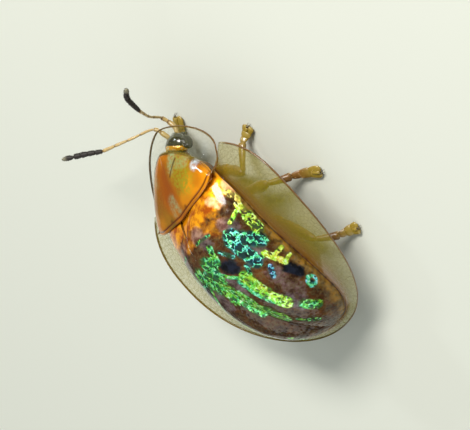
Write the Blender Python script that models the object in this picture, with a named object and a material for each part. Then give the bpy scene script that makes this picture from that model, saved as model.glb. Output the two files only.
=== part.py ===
# Tortoise beetle, life size, standing still on its six feet.
# Metres, +Z up. The head points to -Y, the animal's right side is -X.
# Shapes are worked out in millimetres from the plane of the widest part of the elytral margin
# and raised by standing_height when the meshes are made.

import bpy
import bmesh
from math import cos, pi, sin
from mathutils import Matrix, Vector

# ---------------------------------------------------------------- driving sizes, millimetres

mm = 0.001
standing_height = 1.45      # the widest part of the elytral margin above the floor
body_front = -3.5           # front edge of the pronotum
body_rear = 3.5             # tip of the elytra

rim_half_width = 3.02       # elytral margin, from the suture out
rim_widest = -0.07          # y of its widest part
rim_front_reach = 2.345     # from there to where the margin would close in front
rim_front_power = 2.567     # squareness of the front half
rim_rear_power = 2.10       # squareness of the rear half
rim_dip_front = 0.28        # how far the margin bends down toward the shoulders
rim_dip_rear = 0.74         # how far it bends down toward the tail
lobe_angle = 0.66           # where the margin starts, measured round from straight ahead

disc_half_width = 1.60      # the raised disc inside the margin
disc_widest = 0.8
disc_front_reach = 3.75
disc_front_power = 2.7
disc_rear_power = 2.8
disc_rear = 3.29            # hind end of the disc
disc_step = 0.20            # the disc edge above the margin edge
shoulder_angle = 1.090      # where the disc starts, measured as lobe_angle is

crest_height = 1.45         # top of the back
crest_y = 0.1
crest_front_y = -1.22       # where the suture starts, behind the scutellum
crest_front_height = 0.82
dome_power = 2.1            # how flat the top of each cross section is
dome_fall = 0.62            # how steeply it falls at the disc edge
shoulder_fall = 0.95        # the same at the shoulders, where the back is more roof-like

half_suture = 0.025         # half the gap between the two elytra
scutellum_half_width = 0.24 # the small triangle that parts the elytra in front
scutellum_length = 0.42
elytron_thickness = 0.48    # under the raised disc
margin_thickness = 0.36     # along the margin

shield_half_width = 1.82    # pronotum margin
shield_widest = -2.086
shield_rear_reach = 0.86
shield_front_power = 1.60
shield_rear_power = 2.2
shield_front_height = -0.436
shield_rise = 0.566         # rise per millimetre toward the rear
shield_arch = 0.14          # fall at the sides, per square millimetre
shield_corner_angle = 2.20  # where the side margin ends at the hind corner
shield_disc_front = -2.66   # front of the raised part
shield_disc_half_width = 1.42
shield_disc_widest = -1.58
shield_disc_step = 0.10     # the edge of the raised part above the margin's slope
shield_base_y = -1.28       # middle of the hind edge
shield_base_height = 0.88
shield_corner_x = 1.50
shield_corner_height = 0.38
shield_thickness = 0.26     # measured straight down

head_centre = (0, -2.84, -0.72)
head_size = (0.43, 0.42, 0.34)
head_tilt = 0.5             # radians, mouth forward and down
eye_offset = 0.58
eye_size = (0.11, 0.25, 0.20)

limb_radii = {              # start, middle and end of each piece
    "femur": (0.20, 0.27, 0.21),
    "tibia": (0.21, 0.22, 0.22),
    "tarsus": (0.22, 0.26, 0.16),
}
stalk_radius = 0.21
club_radius = 0.25
joint_gap = 0.05            # clear space between the pieces of a leg

# ---------------------------------------------------------------- materials


def make_material(name, colour, roughness, metallic=0.0):
    material = bpy.data.materials.new(name)
    material.use_nodes = True
    shader = material.node_tree.nodes["Principled BSDF"]
    shader.inputs["Base Color"].default_value = (*colour, 1.0)
    shader.inputs["Roughness"].default_value = roughness
    shader.inputs["Metallic"].default_value = metallic
    return material


# ---------------------------------------------------------------- mesh helpers


def finish_object(name, mesh_builder, material, smooth_angle=0.7):
    """Weld the builder's mesh, face it outward and link it at the origin."""
    bmesh.ops.remove_doubles(mesh_builder, verts=mesh_builder.verts, dist=1e-7)
    bmesh.ops.dissolve_degenerate(mesh_builder, edges=mesh_builder.edges, dist=1e-8)
    bmesh.ops.triangulate(mesh_builder, faces=mesh_builder.faces)
    bmesh.ops.recalc_face_normals(mesh_builder, faces=mesh_builder.faces)
    mesh = bpy.data.meshes.new(name)
    mesh_builder.to_mesh(mesh)
    mesh_builder.free()
    mesh.shade_smooth()
    mesh.set_sharp_from_angle(angle=smooth_angle)
    mesh.materials.append(material)
    built = bpy.data.objects.new(name, mesh)
    bpy.context.collection.objects.link(built)
    return built


def metres(point):
    return Vector((point.x * mm, point.y * mm, (point.z + standing_height) * mm))


def shell_between(outer_rows, inner_rows):
    """Closed shell from a grid of outer points and a grid of the same size below it."""
    shell = bmesh.new()
    below = shell.verts.layers.float_vector.new("below")
    grid = []
    for outer_row, inner_row in zip(outer_rows, inner_rows):
        grid.append([])
        for outer_point, inner_point in zip(outer_row, inner_row):
            vertex = shell.verts.new(metres(outer_point))
            vertex[below] = metres(inner_point)
            grid[-1].append(vertex)
    for near, far in zip(grid, grid[1:]):
        for k in range(len(near) - 1):
            shell.faces.new((near[k], near[k + 1], far[k + 1], far[k]))
    bmesh.ops.remove_doubles(shell, verts=shell.verts, dist=1e-7)
    bmesh.ops.dissolve_degenerate(shell, edges=shell.edges, dist=1e-8)
    inner = {vertex: shell.verts.new(vertex[below]) for vertex in list(shell.verts)}
    edges = [edge for edge in shell.edges if edge.is_boundary]
    for face in list(shell.faces):
        shell.faces.new([inner[vertex] for vertex in reversed(face.verts)])
    for edge in edges:
        first, second = edge.verts
        shell.faces.new((first, second, inner[second], inner[first]))
    return shell


def oval_point(angle, half_width, middle, front_reach, rear_reach, front_power, rear_power):
    """Point of a rounded outline; angle 0 is straight ahead (-Y), pi is straight behind."""
    ahead = cos(angle) > 0
    power = front_power if ahead else rear_power
    reach = front_reach if ahead else rear_reach
    across = half_width * abs(sin(angle)) ** (2 / power)
    along = reach * abs(cos(angle)) ** (2 / power)
    return across, middle - along if ahead else middle + along


def catmull(points, steps):
    """Smooth path through a few points, with steps pieces between neighbours."""
    points = [Vector(point) for point in points]
    ends = [2 * points[0] - points[1]] + points + [2 * points[-1] - points[-2]]
    path = []
    for a, b, c, d in zip(ends, ends[1:], ends[2:], ends[3:]):
        for k in range(steps):
            t = k / steps
            path.append(0.5 * ((2 * b) + (c - a) * t + (2 * a - 5 * b + 4 * c - d) * t * t
                               + (3 * b - a - 3 * c + d) * t ** 3))
    path.append(points[-1])
    return path


def tube(path, radius, sides=8):
    """Closed round limb along a path; radius(s) for s from 0 to 1."""
    limb = bmesh.new()
    count = len(path)
    previous_side = Vector((0, 0, 1)).cross(path[1] - path[0])
    if previous_side.length < 1e-6:
        previous_side = Vector((1, 0, 0))
    rings = []
    for k, point in enumerate(path):
        ahead = path[min(k + 1, count - 1)] - path[max(k - 1, 0)]
        ahead.normalize()
        side = previous_side - ahead * previous_side.dot(ahead)
        side.normalize()
        previous_side = side
        over = ahead.cross(side)
        size = radius(k / (count - 1))
        ring = []
        for n in range(sides):
            turn = 2 * pi * n / sides
            place = point + (side * cos(turn) + over * sin(turn)) * size
            ring.append(limb.verts.new(metres(place)))
        rings.append(ring)
    for near, far in zip(rings, rings[1:]):
        for n in range(sides):
            limb.faces.new((near[n], near[(n + 1) % sides], far[(n + 1) % sides], far[n]))
    limb.faces.new(list(reversed(rings[0])))
    limb.faces.new(rings[-1])
    return limb


def spindle(thickest, ends=0.2):
    """Radius along a limb: thickest in the middle, drawn in to a round end at both tips."""
    def radius(s):
        size = thickest * (1 - 0.22 * abs(2 * s - 1) ** 2)
        tip = min(1, min(s, 1 - s) / ends)
        return size * (0.55 + 0.45 * tip ** 0.5)
    return radius


def lumpy_body(front, rear, half_width, middle_height, up, down, widest, rows, sides=24,
               power=2.3, roof_power=1.5):
    """Closed body laid along Y: oval seen from above, domed on top, shallow below.

    half_width, middle_height, up and down are functions of y.
    """
    lump = bmesh.new()
    centre = front + (rear - front) * widest
    rings = []
    for k in range(1, rows):
        angle = pi * k / rows
        across, y = oval_point(angle, 1.0, centre, centre - front, rear - centre, power, power)
        ring = []
        for n in range(sides):
            turn = 2 * pi * n / sides
            x = half_width(y) * across * cos(turn)
            lift = abs(sin(turn)) ** (roof_power if sin(turn) > 0 else 0.9)
            reach = up(y) if sin(turn) > 0 else -down(y)
            z = middle_height(y) + across ** 0.7 * reach * lift
            ring.append(lump.verts.new(metres(Vector((x, y, z)))))
        rings.append(ring)
    for near, far in zip(rings, rings[1:]):
        for n in range(sides):
            lump.faces.new((near[n], near[(n + 1) % sides], far[(n + 1) % sides], far[n]))
    for ring, y in ((rings[0], front), (rings[-1], rear)):
        tip = lump.verts.new(metres(Vector((0, y, middle_height(y)))))
        for n in range(sides):
            lump.faces.new((ring[n], ring[(n + 1) % sides], tip))
    return lump


def ellipsoid(centre, size, tilt, narrowing=0.0, segments=20, rings=12):
    """Round lump, tilted about X and drawn in toward its lower end."""
    ball = bmesh.new()
    bmesh.ops.create_uvsphere(ball, u_segments=segments, v_segments=rings, radius=1.0)
    turn = Matrix.Rotation(tilt, 4, 'X')
    for vertex in ball.verts:
        x, y, z = vertex.co
        width = 1 - narrowing * max(0.0, -z)
        place = turn @ Vector((x * size[0] * width, y * size[1], z * size[2]))
        vertex.co = metres(place + Vector(centre))
    return ball


# ---------------------------------------------------------------- elytra


def margin_height(y):
    along = (y - rim_widest) / body_rear
    return -(rim_dip_front if along < 0 else rim_dip_rear) * along * along


def crest(y):
    """Height of the suture line."""
    if y < crest_y:
        back = (crest_y - y) / (crest_y - crest_front_y)
        return crest_height - (crest_height - crest_front_height) * back ** 1.9
    tail = margin_height(disc_rear) + 0.12
    along = min(1.0, (y - crest_y) / (disc_rear + 0.05 - crest_y))
    return tail + (crest_height - tail) * (1 - along ** 2.1) ** 0.72


def inner_edge(y):
    """Distance of an elytron's inner edge from the midline: it gives way to the scutellum."""
    notch = max(0.0, 1 - (y - crest_front_y) / scutellum_length)
    return half_suture + scutellum_half_width * notch


def elytron_rows(side, inset=0.0, margin_drop=0.0, ribs=22, disc_cells=8, rim_cells=5):
    """Ribs from the suture over the disc edge to the margin, from the shoulder to the tail.

    inset draws the disc in on all sides, and margin_drop lowers the margin: both are for the inside.
    """
    rows = []
    for k in range(ribs + 1):
        u = k / ribs
        angle = shoulder_angle + (pi - shoulder_angle) * u
        disc_x, disc_y = oval_point(angle, disc_half_width - inset, disc_widest, disc_front_reach,
                                    disc_rear - inset - disc_widest, disc_front_power, disc_rear_power)
        angle = lobe_angle + (pi - lobe_angle) * u
        rim_x, rim_y = oval_point(angle, rim_half_width, rim_widest, rim_front_reach,
                                  body_rear - rim_widest, rim_front_power, rim_rear_power)
        middle_y = crest_front_y + (disc_rear - inset - crest_front_y) * (u ** 1.05)
        fade = min(1.0, max(0.0, (disc_rear + 0.2 - disc_y) / 1.2))
        disc_z = margin_height(disc_y) + disc_step * (0.35 + 0.65 * fade) - margin_drop
        middle_z = max(crest(middle_y) - inset, disc_z)
        fall = shoulder_fall + (dome_fall - shoulder_fall) * min(1.0, u / 0.35)
        row = []
        for n in range(disc_cells + 1):
            t = sin(pi / 2 * n / disc_cells)
            x = inner_edge(middle_y) + (max(disc_x, half_suture) - inner_edge(middle_y)) * t
            y = middle_y + (disc_y - middle_y) * t
            z = disc_z + (middle_z - disc_z) * max(0.0, 1 - t ** dome_power) ** fall
            row.append(Vector((side * x, y, z)))
        for n in range(1, rim_cells + 1):
            t = n / rim_cells
            inner_x = max(disc_x, half_suture)
            x = inner_x + (max(rim_x, half_suture) - inner_x) * t
            y = disc_y + (rim_y - disc_y) * t
            z = disc_z + (margin_height(rim_y) - margin_drop - disc_z) * (1 - (1 - t) ** 1.4)
            row.append(Vector((side * x, y, z)))
        rows.append(row)
    return rows


def make_elytron(name, side, material):
    inside = elytron_rows(side, elytron_thickness, margin_thickness)
    return finish_object(name, shell_between(elytron_rows(side), inside), material)


# ---------------------------------------------------------------- pronotum


def shield_margin_height(x, y):
    return shield_front_height + shield_rise * (y - body_front) - shield_arch * x * x


def shield_base(x):
    """Hind edge of the pronotum: drawn back in the middle, forward at the corners."""
    u = min(1.0, abs(x) / shield_corner_x)
    y = shield_base_y - 0.16 * u - 0.08 * u ** 4
    z = shield_base_height + (shield_corner_height - shield_base_height) * u ** 1.5
    return y, z


def shield_rows(side, ribs=14, disc_cells=6, rim_cells=4):
    """Ribs from the midline over the raised part to the margin, from the front to the base."""
    rows = []
    for k in range(ribs + 1):
        u = k / ribs
        angle = shield_corner_angle * u
        rim_x, rim_y = oval_point(angle, shield_half_width, shield_widest,
                                  shield_widest - body_front, shield_rear_reach,
                                  shield_front_power, shield_rear_power)
        rim_z = shield_margin_height(rim_x, rim_y)
        angle = pi / 2 * u
        disc_x, disc_y = oval_point(angle, shield_disc_half_width, shield_disc_widest,
                                    shield_disc_widest - shield_disc_front, 1, 2.1, 2)
        disc_z = shield_margin_height(disc_x, disc_y) + shield_disc_step
        settle = max(0.0, (u - 0.8) / 0.2)
        disc_x *= 1 - 0.12 * settle
        middle_y = shield_disc_front + (shield_base_y - shield_disc_front) * u
        climb = 1 - (1 - u) ** 1.7
        middle_z = shield_margin_height(0, shield_disc_front) + shield_disc_step
        middle_z += (shield_base_height - middle_z) * climb
        row = []
        for n in range(disc_cells + 1):
            t = sin(pi / 2 * n / disc_cells)
            x = disc_x * t
            y = middle_y + (disc_y - middle_y) * t
            z = disc_z + (middle_z - disc_z) * max(0.0, 1 - t ** 2.1) ** 0.8
            row.append(Vector((x, y, z)))
        for n in range(1, rim_cells + 1):
            t = n / rim_cells
            row.append(Vector((disc_x, disc_y, disc_z)).lerp(Vector((rim_x, rim_y, rim_z)), t))
        for point in row:
            base_y, base_z = shield_base(point.x)
            point.y += (base_y - point.y) * settle
            point.z += (base_z - point.z) * settle
            point.x *= side
        rows.append(row)
    return rows


def make_pronotum(material):
    right = shield_rows(-1)
    left = shield_rows(1)
    rows = [list(reversed(far)) + near[1:] for far, near in zip(right, left)]
    below = [[point - Vector((0, 0, shield_thickness)) for point in row] for row in rows]
    return finish_object("pronotum", shell_between(rows, below), material)


# ---------------------------------------------------------------- scutellum


def make_scutellum(material):
    """Small triangular plate in front of the suture."""
    plate = bmesh.new()
    depth = 0.25
    front, rear = crest_front_y - 0.05, crest_front_y + scutellum_length - 0.06
    half_width = scutellum_half_width - 0.02
    outline = [(-half_width, front), (half_width, front), (0.0, rear)]
    upper = [Vector((x, y, crest(max(y, crest_front_y)) - 0.03)) for x, y in outline]
    lower = [plate.verts.new(metres(point - Vector((0, 0, depth)))) for point in upper]
    upper = [plate.verts.new(metres(point)) for point in upper]
    plate.faces.new(upper)
    plate.faces.new(list(reversed(lower)))
    for k in range(3):
        following = (k + 1) % 3
        plate.faces.new((lower[k], lower[following], upper[following], upper[k]))
    return finish_object("scutellum", plate, material)


# ---------------------------------------------------------------- limbs
# Each leg is hip, knee, ankle and toe. The feet stand on flats at floor level.

legs = {
    "front_right": ((-0.42, -1.55, -1.02), (-1.15, -1.12, -0.74),
                    (-1.42, -1.72, -1.16), (-1.95, -1.84, -1.30)),
    "middle_right": ((-0.50, -0.72, -1.02), (-1.56, -0.47, -0.74),
                     (-1.93, -0.20, -1.14), (-2.74, 0.31, -1.30)),
    "hind_right": ((-0.48, 0.30, -1.04), (-1.38, 1.40, -0.80),
                   (-1.80, 1.76, -1.14), (-2.30, 1.97, -1.30)),
    "front_left": ((0.42, -1.55, -1.02), (1.06, -2.06, -0.80),
                   (0.62, -2.74, -1.18), (0.14, -3.46, -1.30)),
    "middle_left": ((0.50, -0.72, -1.02), (1.56, -0.55, -0.74),
                    (2.00, -0.36, -1.14), (2.76, 0.02, -1.30)),
    "hind_left": ((0.48, 0.30, -1.04), (1.40, 1.34, -0.80),
                  (1.86, 1.66, -1.14), (2.44, 1.92, -1.30)),
}


def limb_piece(start, end, before, after, radii, sides=12, steps=7):
    """Straight piece of a leg, cut on the slant where it meets its neighbours.

    before and after are the directions of the neighbouring pieces, or None at a free end.
    """
    along = (end - start).normalized()
    cut_in = (along + before).normalized() if before else along
    cut_out = (along + after).normalized() if after else along
    start_cut = start + cut_in * joint_gap / 2 if before else start
    end_cut = end - cut_out * joint_gap / 2 if after else end
    side = Vector((0, 0, 1)).cross(along).normalized()
    over = along.cross(side)
    first, middle, last = radii
    piece = bmesh.new()
    rings = []
    for k in range(steps + 1):
        s = k / steps
        size = first * (1 - s) ** 2 + last * s ** 2 + (4 * middle - first - last) * s * (1 - s)
        ring = []
        for n in range(sides):
            turn = 2 * pi * (n + 0.5) / sides
            spoke = side * cos(turn) + over * sin(turn)
            front = (start_cut - start - spoke * first).dot(cut_in) / along.dot(cut_in)
            back = (end_cut - start - spoke * last).dot(cut_out) / along.dot(cut_out)
            place = start + along * (front + (back - front) * s) + spoke * size
            place.z = max(place.z, -standing_height)
            ring.append(piece.verts.new(metres(place)))
        rings.append(ring)
    for near, far in zip(rings, rings[1:]):
        for n in range(sides):
            following = (n + 1) % sides
            piece.faces.new((near[n], near[following], far[following], far[n]))
    piece.faces.new(list(reversed(rings[0])))
    piece.faces.new(rings[-1])
    return piece


def make_leg(name, joints, material):
    points = [Vector(point) for point in joints]
    ways = [(after - before).normalized() for before, after in zip(points, points[1:])]
    neighbours = [None] + ways + [None]
    for k, piece in enumerate(("femur", "tibia", "tarsus")):
        built = limb_piece(points[k], points[k + 1], neighbours[k], neighbours[k + 2], limb_radii[piece])
        finish_object(f"leg_{name}_{piece}", built, material)


antennae = {
    "right": ((-0.20, -3.36, -0.92), (-0.12, -3.68, -0.80), (-0.42, -3.86, -0.30),
              (-1.03, -4.06, 0.30), (-1.39, -4.43, 0.60), (-1.98, -4.56, 0.88)),
    "left": ((0.34, -3.40, -0.85), (0.48, -3.66, -0.80), (0.86, -3.87, -0.36),
             (1.49, -4.16, 0.12), (1.77, -4.40, 0.35), (2.33, -4.76, 0.64)),
}


def make_antenna(side, points, materials):
    """Thread-like stalk and the darker, thicker outer joints."""
    stalk = catmull(points[:4], 3)
    stalk[-1] = stalk[-1].lerp(stalk[-2], 0.4)
    finish_object(f"antenna_{side}",
                  tube(stalk, lambda s: stalk_radius * (0.6 + 0.4 * min(1, s / 0.4))),
                  materials["antenna"])
    finish_object(f"antenna_{side}_club", tube(catmull(points[3:], 3), spindle(club_radius)),
                  materials["club"])


# ---------------------------------------------------------------- assembly

for old in list(bpy.data.objects):
    bpy.data.objects.remove(old, do_unlink=True)

finishes = {
    "elytra": make_material("elytra", (0.32, 0.10, 0.05), 0.25),
    "pronotum": make_material("pronotum", (0.62, 0.26, 0.04), 0.22),
    "scutellum": make_material("scutellum", (0.45, 0.16, 0.03), 0.3),
    "body": make_material("body", (0.10, 0.05, 0.03), 0.45),
    "head": make_material("head", (0.06, 0.05, 0.05), 0.25),
    "eye": make_material("eye", (0.015, 0.013, 0.015), 0.12),
    "leg": make_material("leg", (0.42, 0.20, 0.05), 0.4),
    "antenna": make_material("antenna", (0.50, 0.26, 0.08), 0.45),
    "club": make_material("club", (0.03, 0.02, 0.02), 0.6),
}

make_elytron("elytron_right", -1, finishes["elytra"])
make_elytron("elytron_left", 1, finishes["elytra"])
make_pronotum(finishes["pronotum"])
make_scutellum(finishes["scutellum"])

finish_object("abdomen", lumpy_body(
    0.42, 2.78,
    half_width=lambda y: 1.22 - 0.10 * max(0.0, y - 0.8),
    middle_height=lambda y: -0.47 - 0.08 * max(0.0, y - 0.8),
    up=lambda y: 1.04 - 0.42 * max(0.0, y - 1.0),
    down=lambda y: 0.18, widest=0.35, rows=16), finishes["body"])
finish_object("thorax", lumpy_body(
    -1.30, 0.38,
    half_width=lambda y: 1.14,
    middle_height=lambda y: -0.47,
    up=lambda y: 0.62 + 0.20 * max(0.0, y + 0.7),
    down=lambda y: 0.27, widest=0.8, rows=12), finishes["body"])
finish_object("prothorax", lumpy_body(
    -2.34, -1.36,
    half_width=lambda y: 0.80,
    middle_height=lambda y: -0.42,
    up=lambda y: 0.42,
    down=lambda y: 0.30, widest=0.6, rows=10, sides=20), finishes["body"])

finish_object("head", ellipsoid(head_centre, head_size, head_tilt, narrowing=0.3), finishes["head"])
for side, name in ((-1, "eye_right"), (1, "eye_left")):
    place = (side * eye_offset, head_centre[1] - 0.04, head_centre[2])
    finish_object(name, ellipsoid(place, eye_size, head_tilt, segments=14, rings=8), finishes["eye"])

for name, joints in legs.items():
    make_leg(name, joints, finishes["leg"])
for side, points in antennae.items():
    make_antenna(side, points, finishes)

# the origin is under the middle of the whole animal, on the floor

corners = [vertex.co for built in bpy.data.objects for vertex in built.data.vertices]
middle_x = (min(point.x for point in corners) + max(point.x for point in corners)) / 2
middle_y = (min(point.y for point in corners) + max(point.y for point in corners)) / 2
for built in bpy.data.objects:
    built.data.transform(Matrix.Translation((-middle_x, -middle_y, 0)))
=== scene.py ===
# Tortoise beetle, life size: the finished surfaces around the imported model.
# Shapes are worked out in millimetres from the plane of the widest part of the wing case margin.
# The head points to -Y, the animal's right side is -X.

from functools import partial
from math import cos, pi, radians, sin

import bmesh
import bpy
import numpy as np
from mathutils import Matrix, Vector, noise


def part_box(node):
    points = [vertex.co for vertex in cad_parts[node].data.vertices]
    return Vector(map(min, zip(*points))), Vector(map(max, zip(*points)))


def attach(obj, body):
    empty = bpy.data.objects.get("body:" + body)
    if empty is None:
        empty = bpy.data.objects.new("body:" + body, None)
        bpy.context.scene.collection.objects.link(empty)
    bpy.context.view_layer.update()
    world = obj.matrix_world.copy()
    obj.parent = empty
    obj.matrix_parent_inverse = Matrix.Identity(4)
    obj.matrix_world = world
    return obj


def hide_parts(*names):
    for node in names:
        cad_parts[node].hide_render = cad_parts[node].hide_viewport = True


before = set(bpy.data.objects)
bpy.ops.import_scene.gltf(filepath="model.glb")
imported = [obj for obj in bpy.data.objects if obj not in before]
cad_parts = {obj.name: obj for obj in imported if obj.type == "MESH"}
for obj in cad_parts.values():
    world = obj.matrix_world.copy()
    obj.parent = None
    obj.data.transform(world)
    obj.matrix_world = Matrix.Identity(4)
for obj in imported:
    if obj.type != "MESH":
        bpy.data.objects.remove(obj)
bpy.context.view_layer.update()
mm = 0.001
weldGap = 2e-7                    # metres between points that are merged
farAway = 9.0                     # mm, farther than anything on the animal

# The curves that the shell plates share with the solids: sizes in mm, angles in radians.
shellShape = {
    "bodyFront": -3.5, "bodyRear": 3.5, "crestHeight": 1.45,
    "rimHalfWidth": 3.02, "rimWidest": -0.07, "rimFrontReach": 2.345, "rimFrontPower": 2.567,
    "rimRearPower": 2.10, "rimDipFront": 0.28, "rimDipRear": 0.74, "lobeAngle": 0.66,
    "discHalfWidth": 1.60, "discWidest": 0.8, "discFrontReach": 3.75, "discFrontPower": 2.7,
    "discRearPower": 2.8, "discRear": 3.29, "discStep": 0.20, "shoulderAngle": 1.090,
    "crestY": -0.12, "crestFrontY": -1.22, "crestFrontHeight": 0.82,
    "domePower": 2.3, "domeFall": 0.62, "shoulderFall": 0.88,
    "halfSuture": 0.003, "notchHalfWidth": 0.235, "notchLength": 0.42,
    "tuckLength": 2.5, "tuckDrop": 1.0,     # per unit of u, where the front tucks under the pronotum
}

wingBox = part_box("elytron_right")
bodyOrigin = np.array((0.0, wingBox[1].y - shellShape["bodyRear"] * mm,
                       wingBox[1].z - shellShape["crestHeight"] * mm))
floorZ = -bodyOrigin[2] / mm      # the floor in body millimetres


def toMetres(points):
    return np.asarray(points, float) * mm + bodyOrigin


def hexColour(code):              # sRGB hex to the linear values that Blender wants
    parts = [int(code[k:k + 2], 16) / 255 for k in (1, 3, 5)]
    return (*[c / 12.92 if c <= 0.04045 else ((c + 0.055) / 1.055) ** 2.4 for c in parts], 1.0)


def smoothStep(low, high, value):
    t = np.clip((value - low) / (high - low), 0, 1)
    return t * t * (3 - 2 * t)


def gridFaces(rows, columns):     # a tube of rows rings, open at both ends
    faces = []
    for row in range(rows - 1):
        for k in range(columns):
            after = (k + 1) % columns
            faces.append((row * columns + k, row * columns + after,
                          (row + 1) * columns + after, (row + 1) * columns + k))
    return faces


def loft(rings):                  # closed shape through a run of rings, with a point at each end
    rings = np.asarray(rings, float)
    rows, columns = rings.shape[:2]
    points = np.vstack([rings.reshape(-1, 3), rings[0].mean(0)[None], rings[-1].mean(0)[None]])
    faces = gridFaces(rows, columns)
    lastRow = (rows - 1) * columns
    for k in range(columns):
        after = (k + 1) % columns
        faces.append((after, k, rows * columns))
        faces.append((lastRow + k, lastRow + after, rows * columns + 1))
    return points, faces


def joinParts(parts):             # several (points, faces) as one
    points, faces, start = [], [], 0
    for partPoints, partFaces in parts:
        points.append(np.asarray(partPoints))
        faces += [tuple(index + start for index in face) for face in partFaces]
        start += len(partPoints)
    return np.vstack(points), faces


def smoothPath(points, steps):    # a curve through a few points
    points = [np.array(point, float) for point in points]
    ends = [2 * points[0] - points[1]] + points + [2 * points[-1] - points[-2]]
    path = []
    for a, b, c, d in zip(ends, ends[1:], ends[2:], ends[3:]):
        for t in np.arange(steps) / steps:
            path.append(0.5 * (2 * b + (c - a) * t + (2 * a - 5 * b + 4 * c - d) * t ** 2
                               + (3 * b - a - 3 * c + d) * t ** 3))
    return np.array(path + [points[-1]])


def alongPath(path, distances):   # points at given distances along a path
    lengths = np.concatenate([[0], np.cumsum(np.linalg.norm(np.diff(path, axis=0), axis=1))])
    distances = np.clip(distances, 0, lengths[-1])
    return np.stack([np.interp(distances, lengths, path[:, axis]) for axis in range(3)], -1)


def sweptRings(path, widths, heights, sides, floor=None):     # ovals across a path that isn't upright
    ahead = np.gradient(path, axis=0)
    ahead /= np.linalg.norm(ahead, axis=1)[:, None]
    side = np.cross((0, 0, 1), ahead)
    side /= np.linalg.norm(side, axis=1)[:, None]
    over = np.cross(ahead, side)
    turns = np.linspace(0, 2 * pi, sides, endpoint=False)
    rings = (path[:, None] + side[:, None] * (np.cos(turns) * widths[:, None])[..., None]
             + over[:, None] * (np.sin(turns) * heights[:, None])[..., None])
    if floor is not None:
        rings[..., 2] = np.maximum(rings[..., 2], floor)
    return rings


def gridNormals(grid):
    normal = np.cross(np.gradient(grid, axis=1), np.gradient(grid, axis=0))
    length = np.linalg.norm(normal, axis=-1, keepdims=True)
    return normal / np.maximum(length, 1e-9)


def distanceToLine(points, start, end):
    start, end = np.asarray(start, float), np.asarray(end, float)
    along = end - start
    share = np.clip((points - start) @ along / max(along @ along, 1e-9), 0, 1)
    return np.linalg.norm(points - start - share[..., None] * along, axis=-1)


def unevenness(points, size, seed):      # soft noise from -1 to 1 with features about size millimetres wide
    flat = points.reshape(-1, 3) / size + seed
    return np.array([noise.noise(Vector(point)) for point in flat]).reshape(points.shape[:-1])


def makePiece(name, points, faces, materials, slot, replaces=(), faceSlots=(), attributes={}):
    mesh = bpy.data.meshes.new(name)
    mesh.from_pydata(toMetres(points).tolist(), [], faces)
    for material in materials:
        mesh.materials.append(material)
    if faceSlots:
        mesh.polygons.foreach_set("material_index", np.asarray(faceSlots, np.int32))
    for key, values in attributes.items():
        values = np.asarray(values, np.float32)
        kind, field = ("FLOAT_VECTOR", "vector") if values.ndim == 2 else ("FLOAT", "value")
        mesh.attributes.new(key, kind, "POINT").data.foreach_set(field, values.ravel())
    builder = bmesh.new()
    builder.from_mesh(mesh)
    bmesh.ops.remove_doubles(builder, verts=builder.verts, dist=weldGap)
    bmesh.ops.dissolve_degenerate(builder, edges=builder.edges, dist=weldGap / 10)
    bmesh.ops.recalc_face_normals(builder, faces=builder.faces)
    builder.to_mesh(mesh)
    builder.free()
    mesh.shade_smooth()
    return claimPiece(name, mesh, replaces)


def placeInScene(name, data):
    item = bpy.data.objects.new(name, data)
    bpy.context.scene.collection.objects.link(item)
    return item


def claimPiece(name, mesh, replaces=()):
    piece = placeInScene(name, mesh)
    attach(piece, "root")
    if replaces:
        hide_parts(*replaces)
    return piece


# Inputs come as a dictionary by name, or as a list that fills the sockets in use from the top, so that a
# Map Range takes value, from, from, to, to. A node given as a value stands for its first output in use.
def giveInputs(tree, node, inputs):
    if isinstance(inputs, dict):
        pairs = [(node.inputs[key], value) for key, value in inputs.items()]
    else:
        pairs = zip([socket for socket in node.inputs if socket.enabled], inputs)
    for socket, value in pairs:
        if isinstance(value, bpy.types.Node):
            value = next(output for output in value.outputs if output.enabled)
        if isinstance(value, bpy.types.NodeSocket):
            tree.links.new(value, socket)
        else:
            socket.default_value = hexColour(value) if str(value).startswith("#") else value


def addNode(tree, kind, inputs=(), **settings):
    node = tree.nodes.new(kind if "Node" in kind else "ShaderNode" + kind)
    for key, value in settings.items():
        setattr(node, key, value)
    giveInputs(tree, node, inputs)
    return node


def fillRamp(node, stops):
    ramp = node.color_ramp
    while len(ramp.elements) < len(stops):
        ramp.elements.new(0.5)
    for element, (position, tint) in zip(ramp.elements, stops):
        element.position = position
        element.color = hexColour(tint)


def startMaterial(name, constants):     # a Principled shader and millimetre coordinates
    material = bpy.data.materials.new(name)
    material.use_nodes = True
    tree = material.node_tree
    shader = tree.nodes["Principled BSDF"]
    giveInputs(tree, shader, constants)
    place = addNode(tree, "TexCoord")
    scaled = addNode(tree, "Mapping", {"Vector": place.outputs["Object"], "Scale": (1 / mm, 1 / mm, 1 / mm)})
    return material, tree, shader, scaled


def ovalPoint(angle, halfWidth, middle, frontReach, rearReach, frontPower, rearPower):
    ahead = np.cos(angle) > 0
    power = np.where(ahead, frontPower, rearPower)
    reach = np.where(ahead, -frontReach, rearReach)
    return (halfWidth * np.abs(np.sin(angle)) ** (2 / power),
            middle + reach * np.abs(np.cos(angle)) ** (2 / power))


def marginHeight(y):
    along = (y - shellShape["rimWidest"]) / shellShape["bodyRear"]
    dip = np.where(along < 0, shellShape["rimDipFront"], shellShape["rimDipRear"])
    return -dip * along * along


def crestLine(y):                 # height of the suture
    top, frontY = shellShape["crestHeight"], shellShape["crestFrontY"]
    back = np.clip((shellShape["crestY"] - y) / (shellShape["crestY"] - frontY), 0, None)
    front = top - (top - shellShape["crestFrontHeight"]) * back ** 1.9
    tail = marginHeight(shellShape["discRear"]) + 0.12
    along = np.clip((y - shellShape["crestY"]) / (shellShape["discRear"] + 0.05 - shellShape["crestY"]), 0, 1)
    return np.where(y < shellShape["crestY"], front, tail + (top - tail) * (1 - along ** 2.1) ** 0.72)


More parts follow.
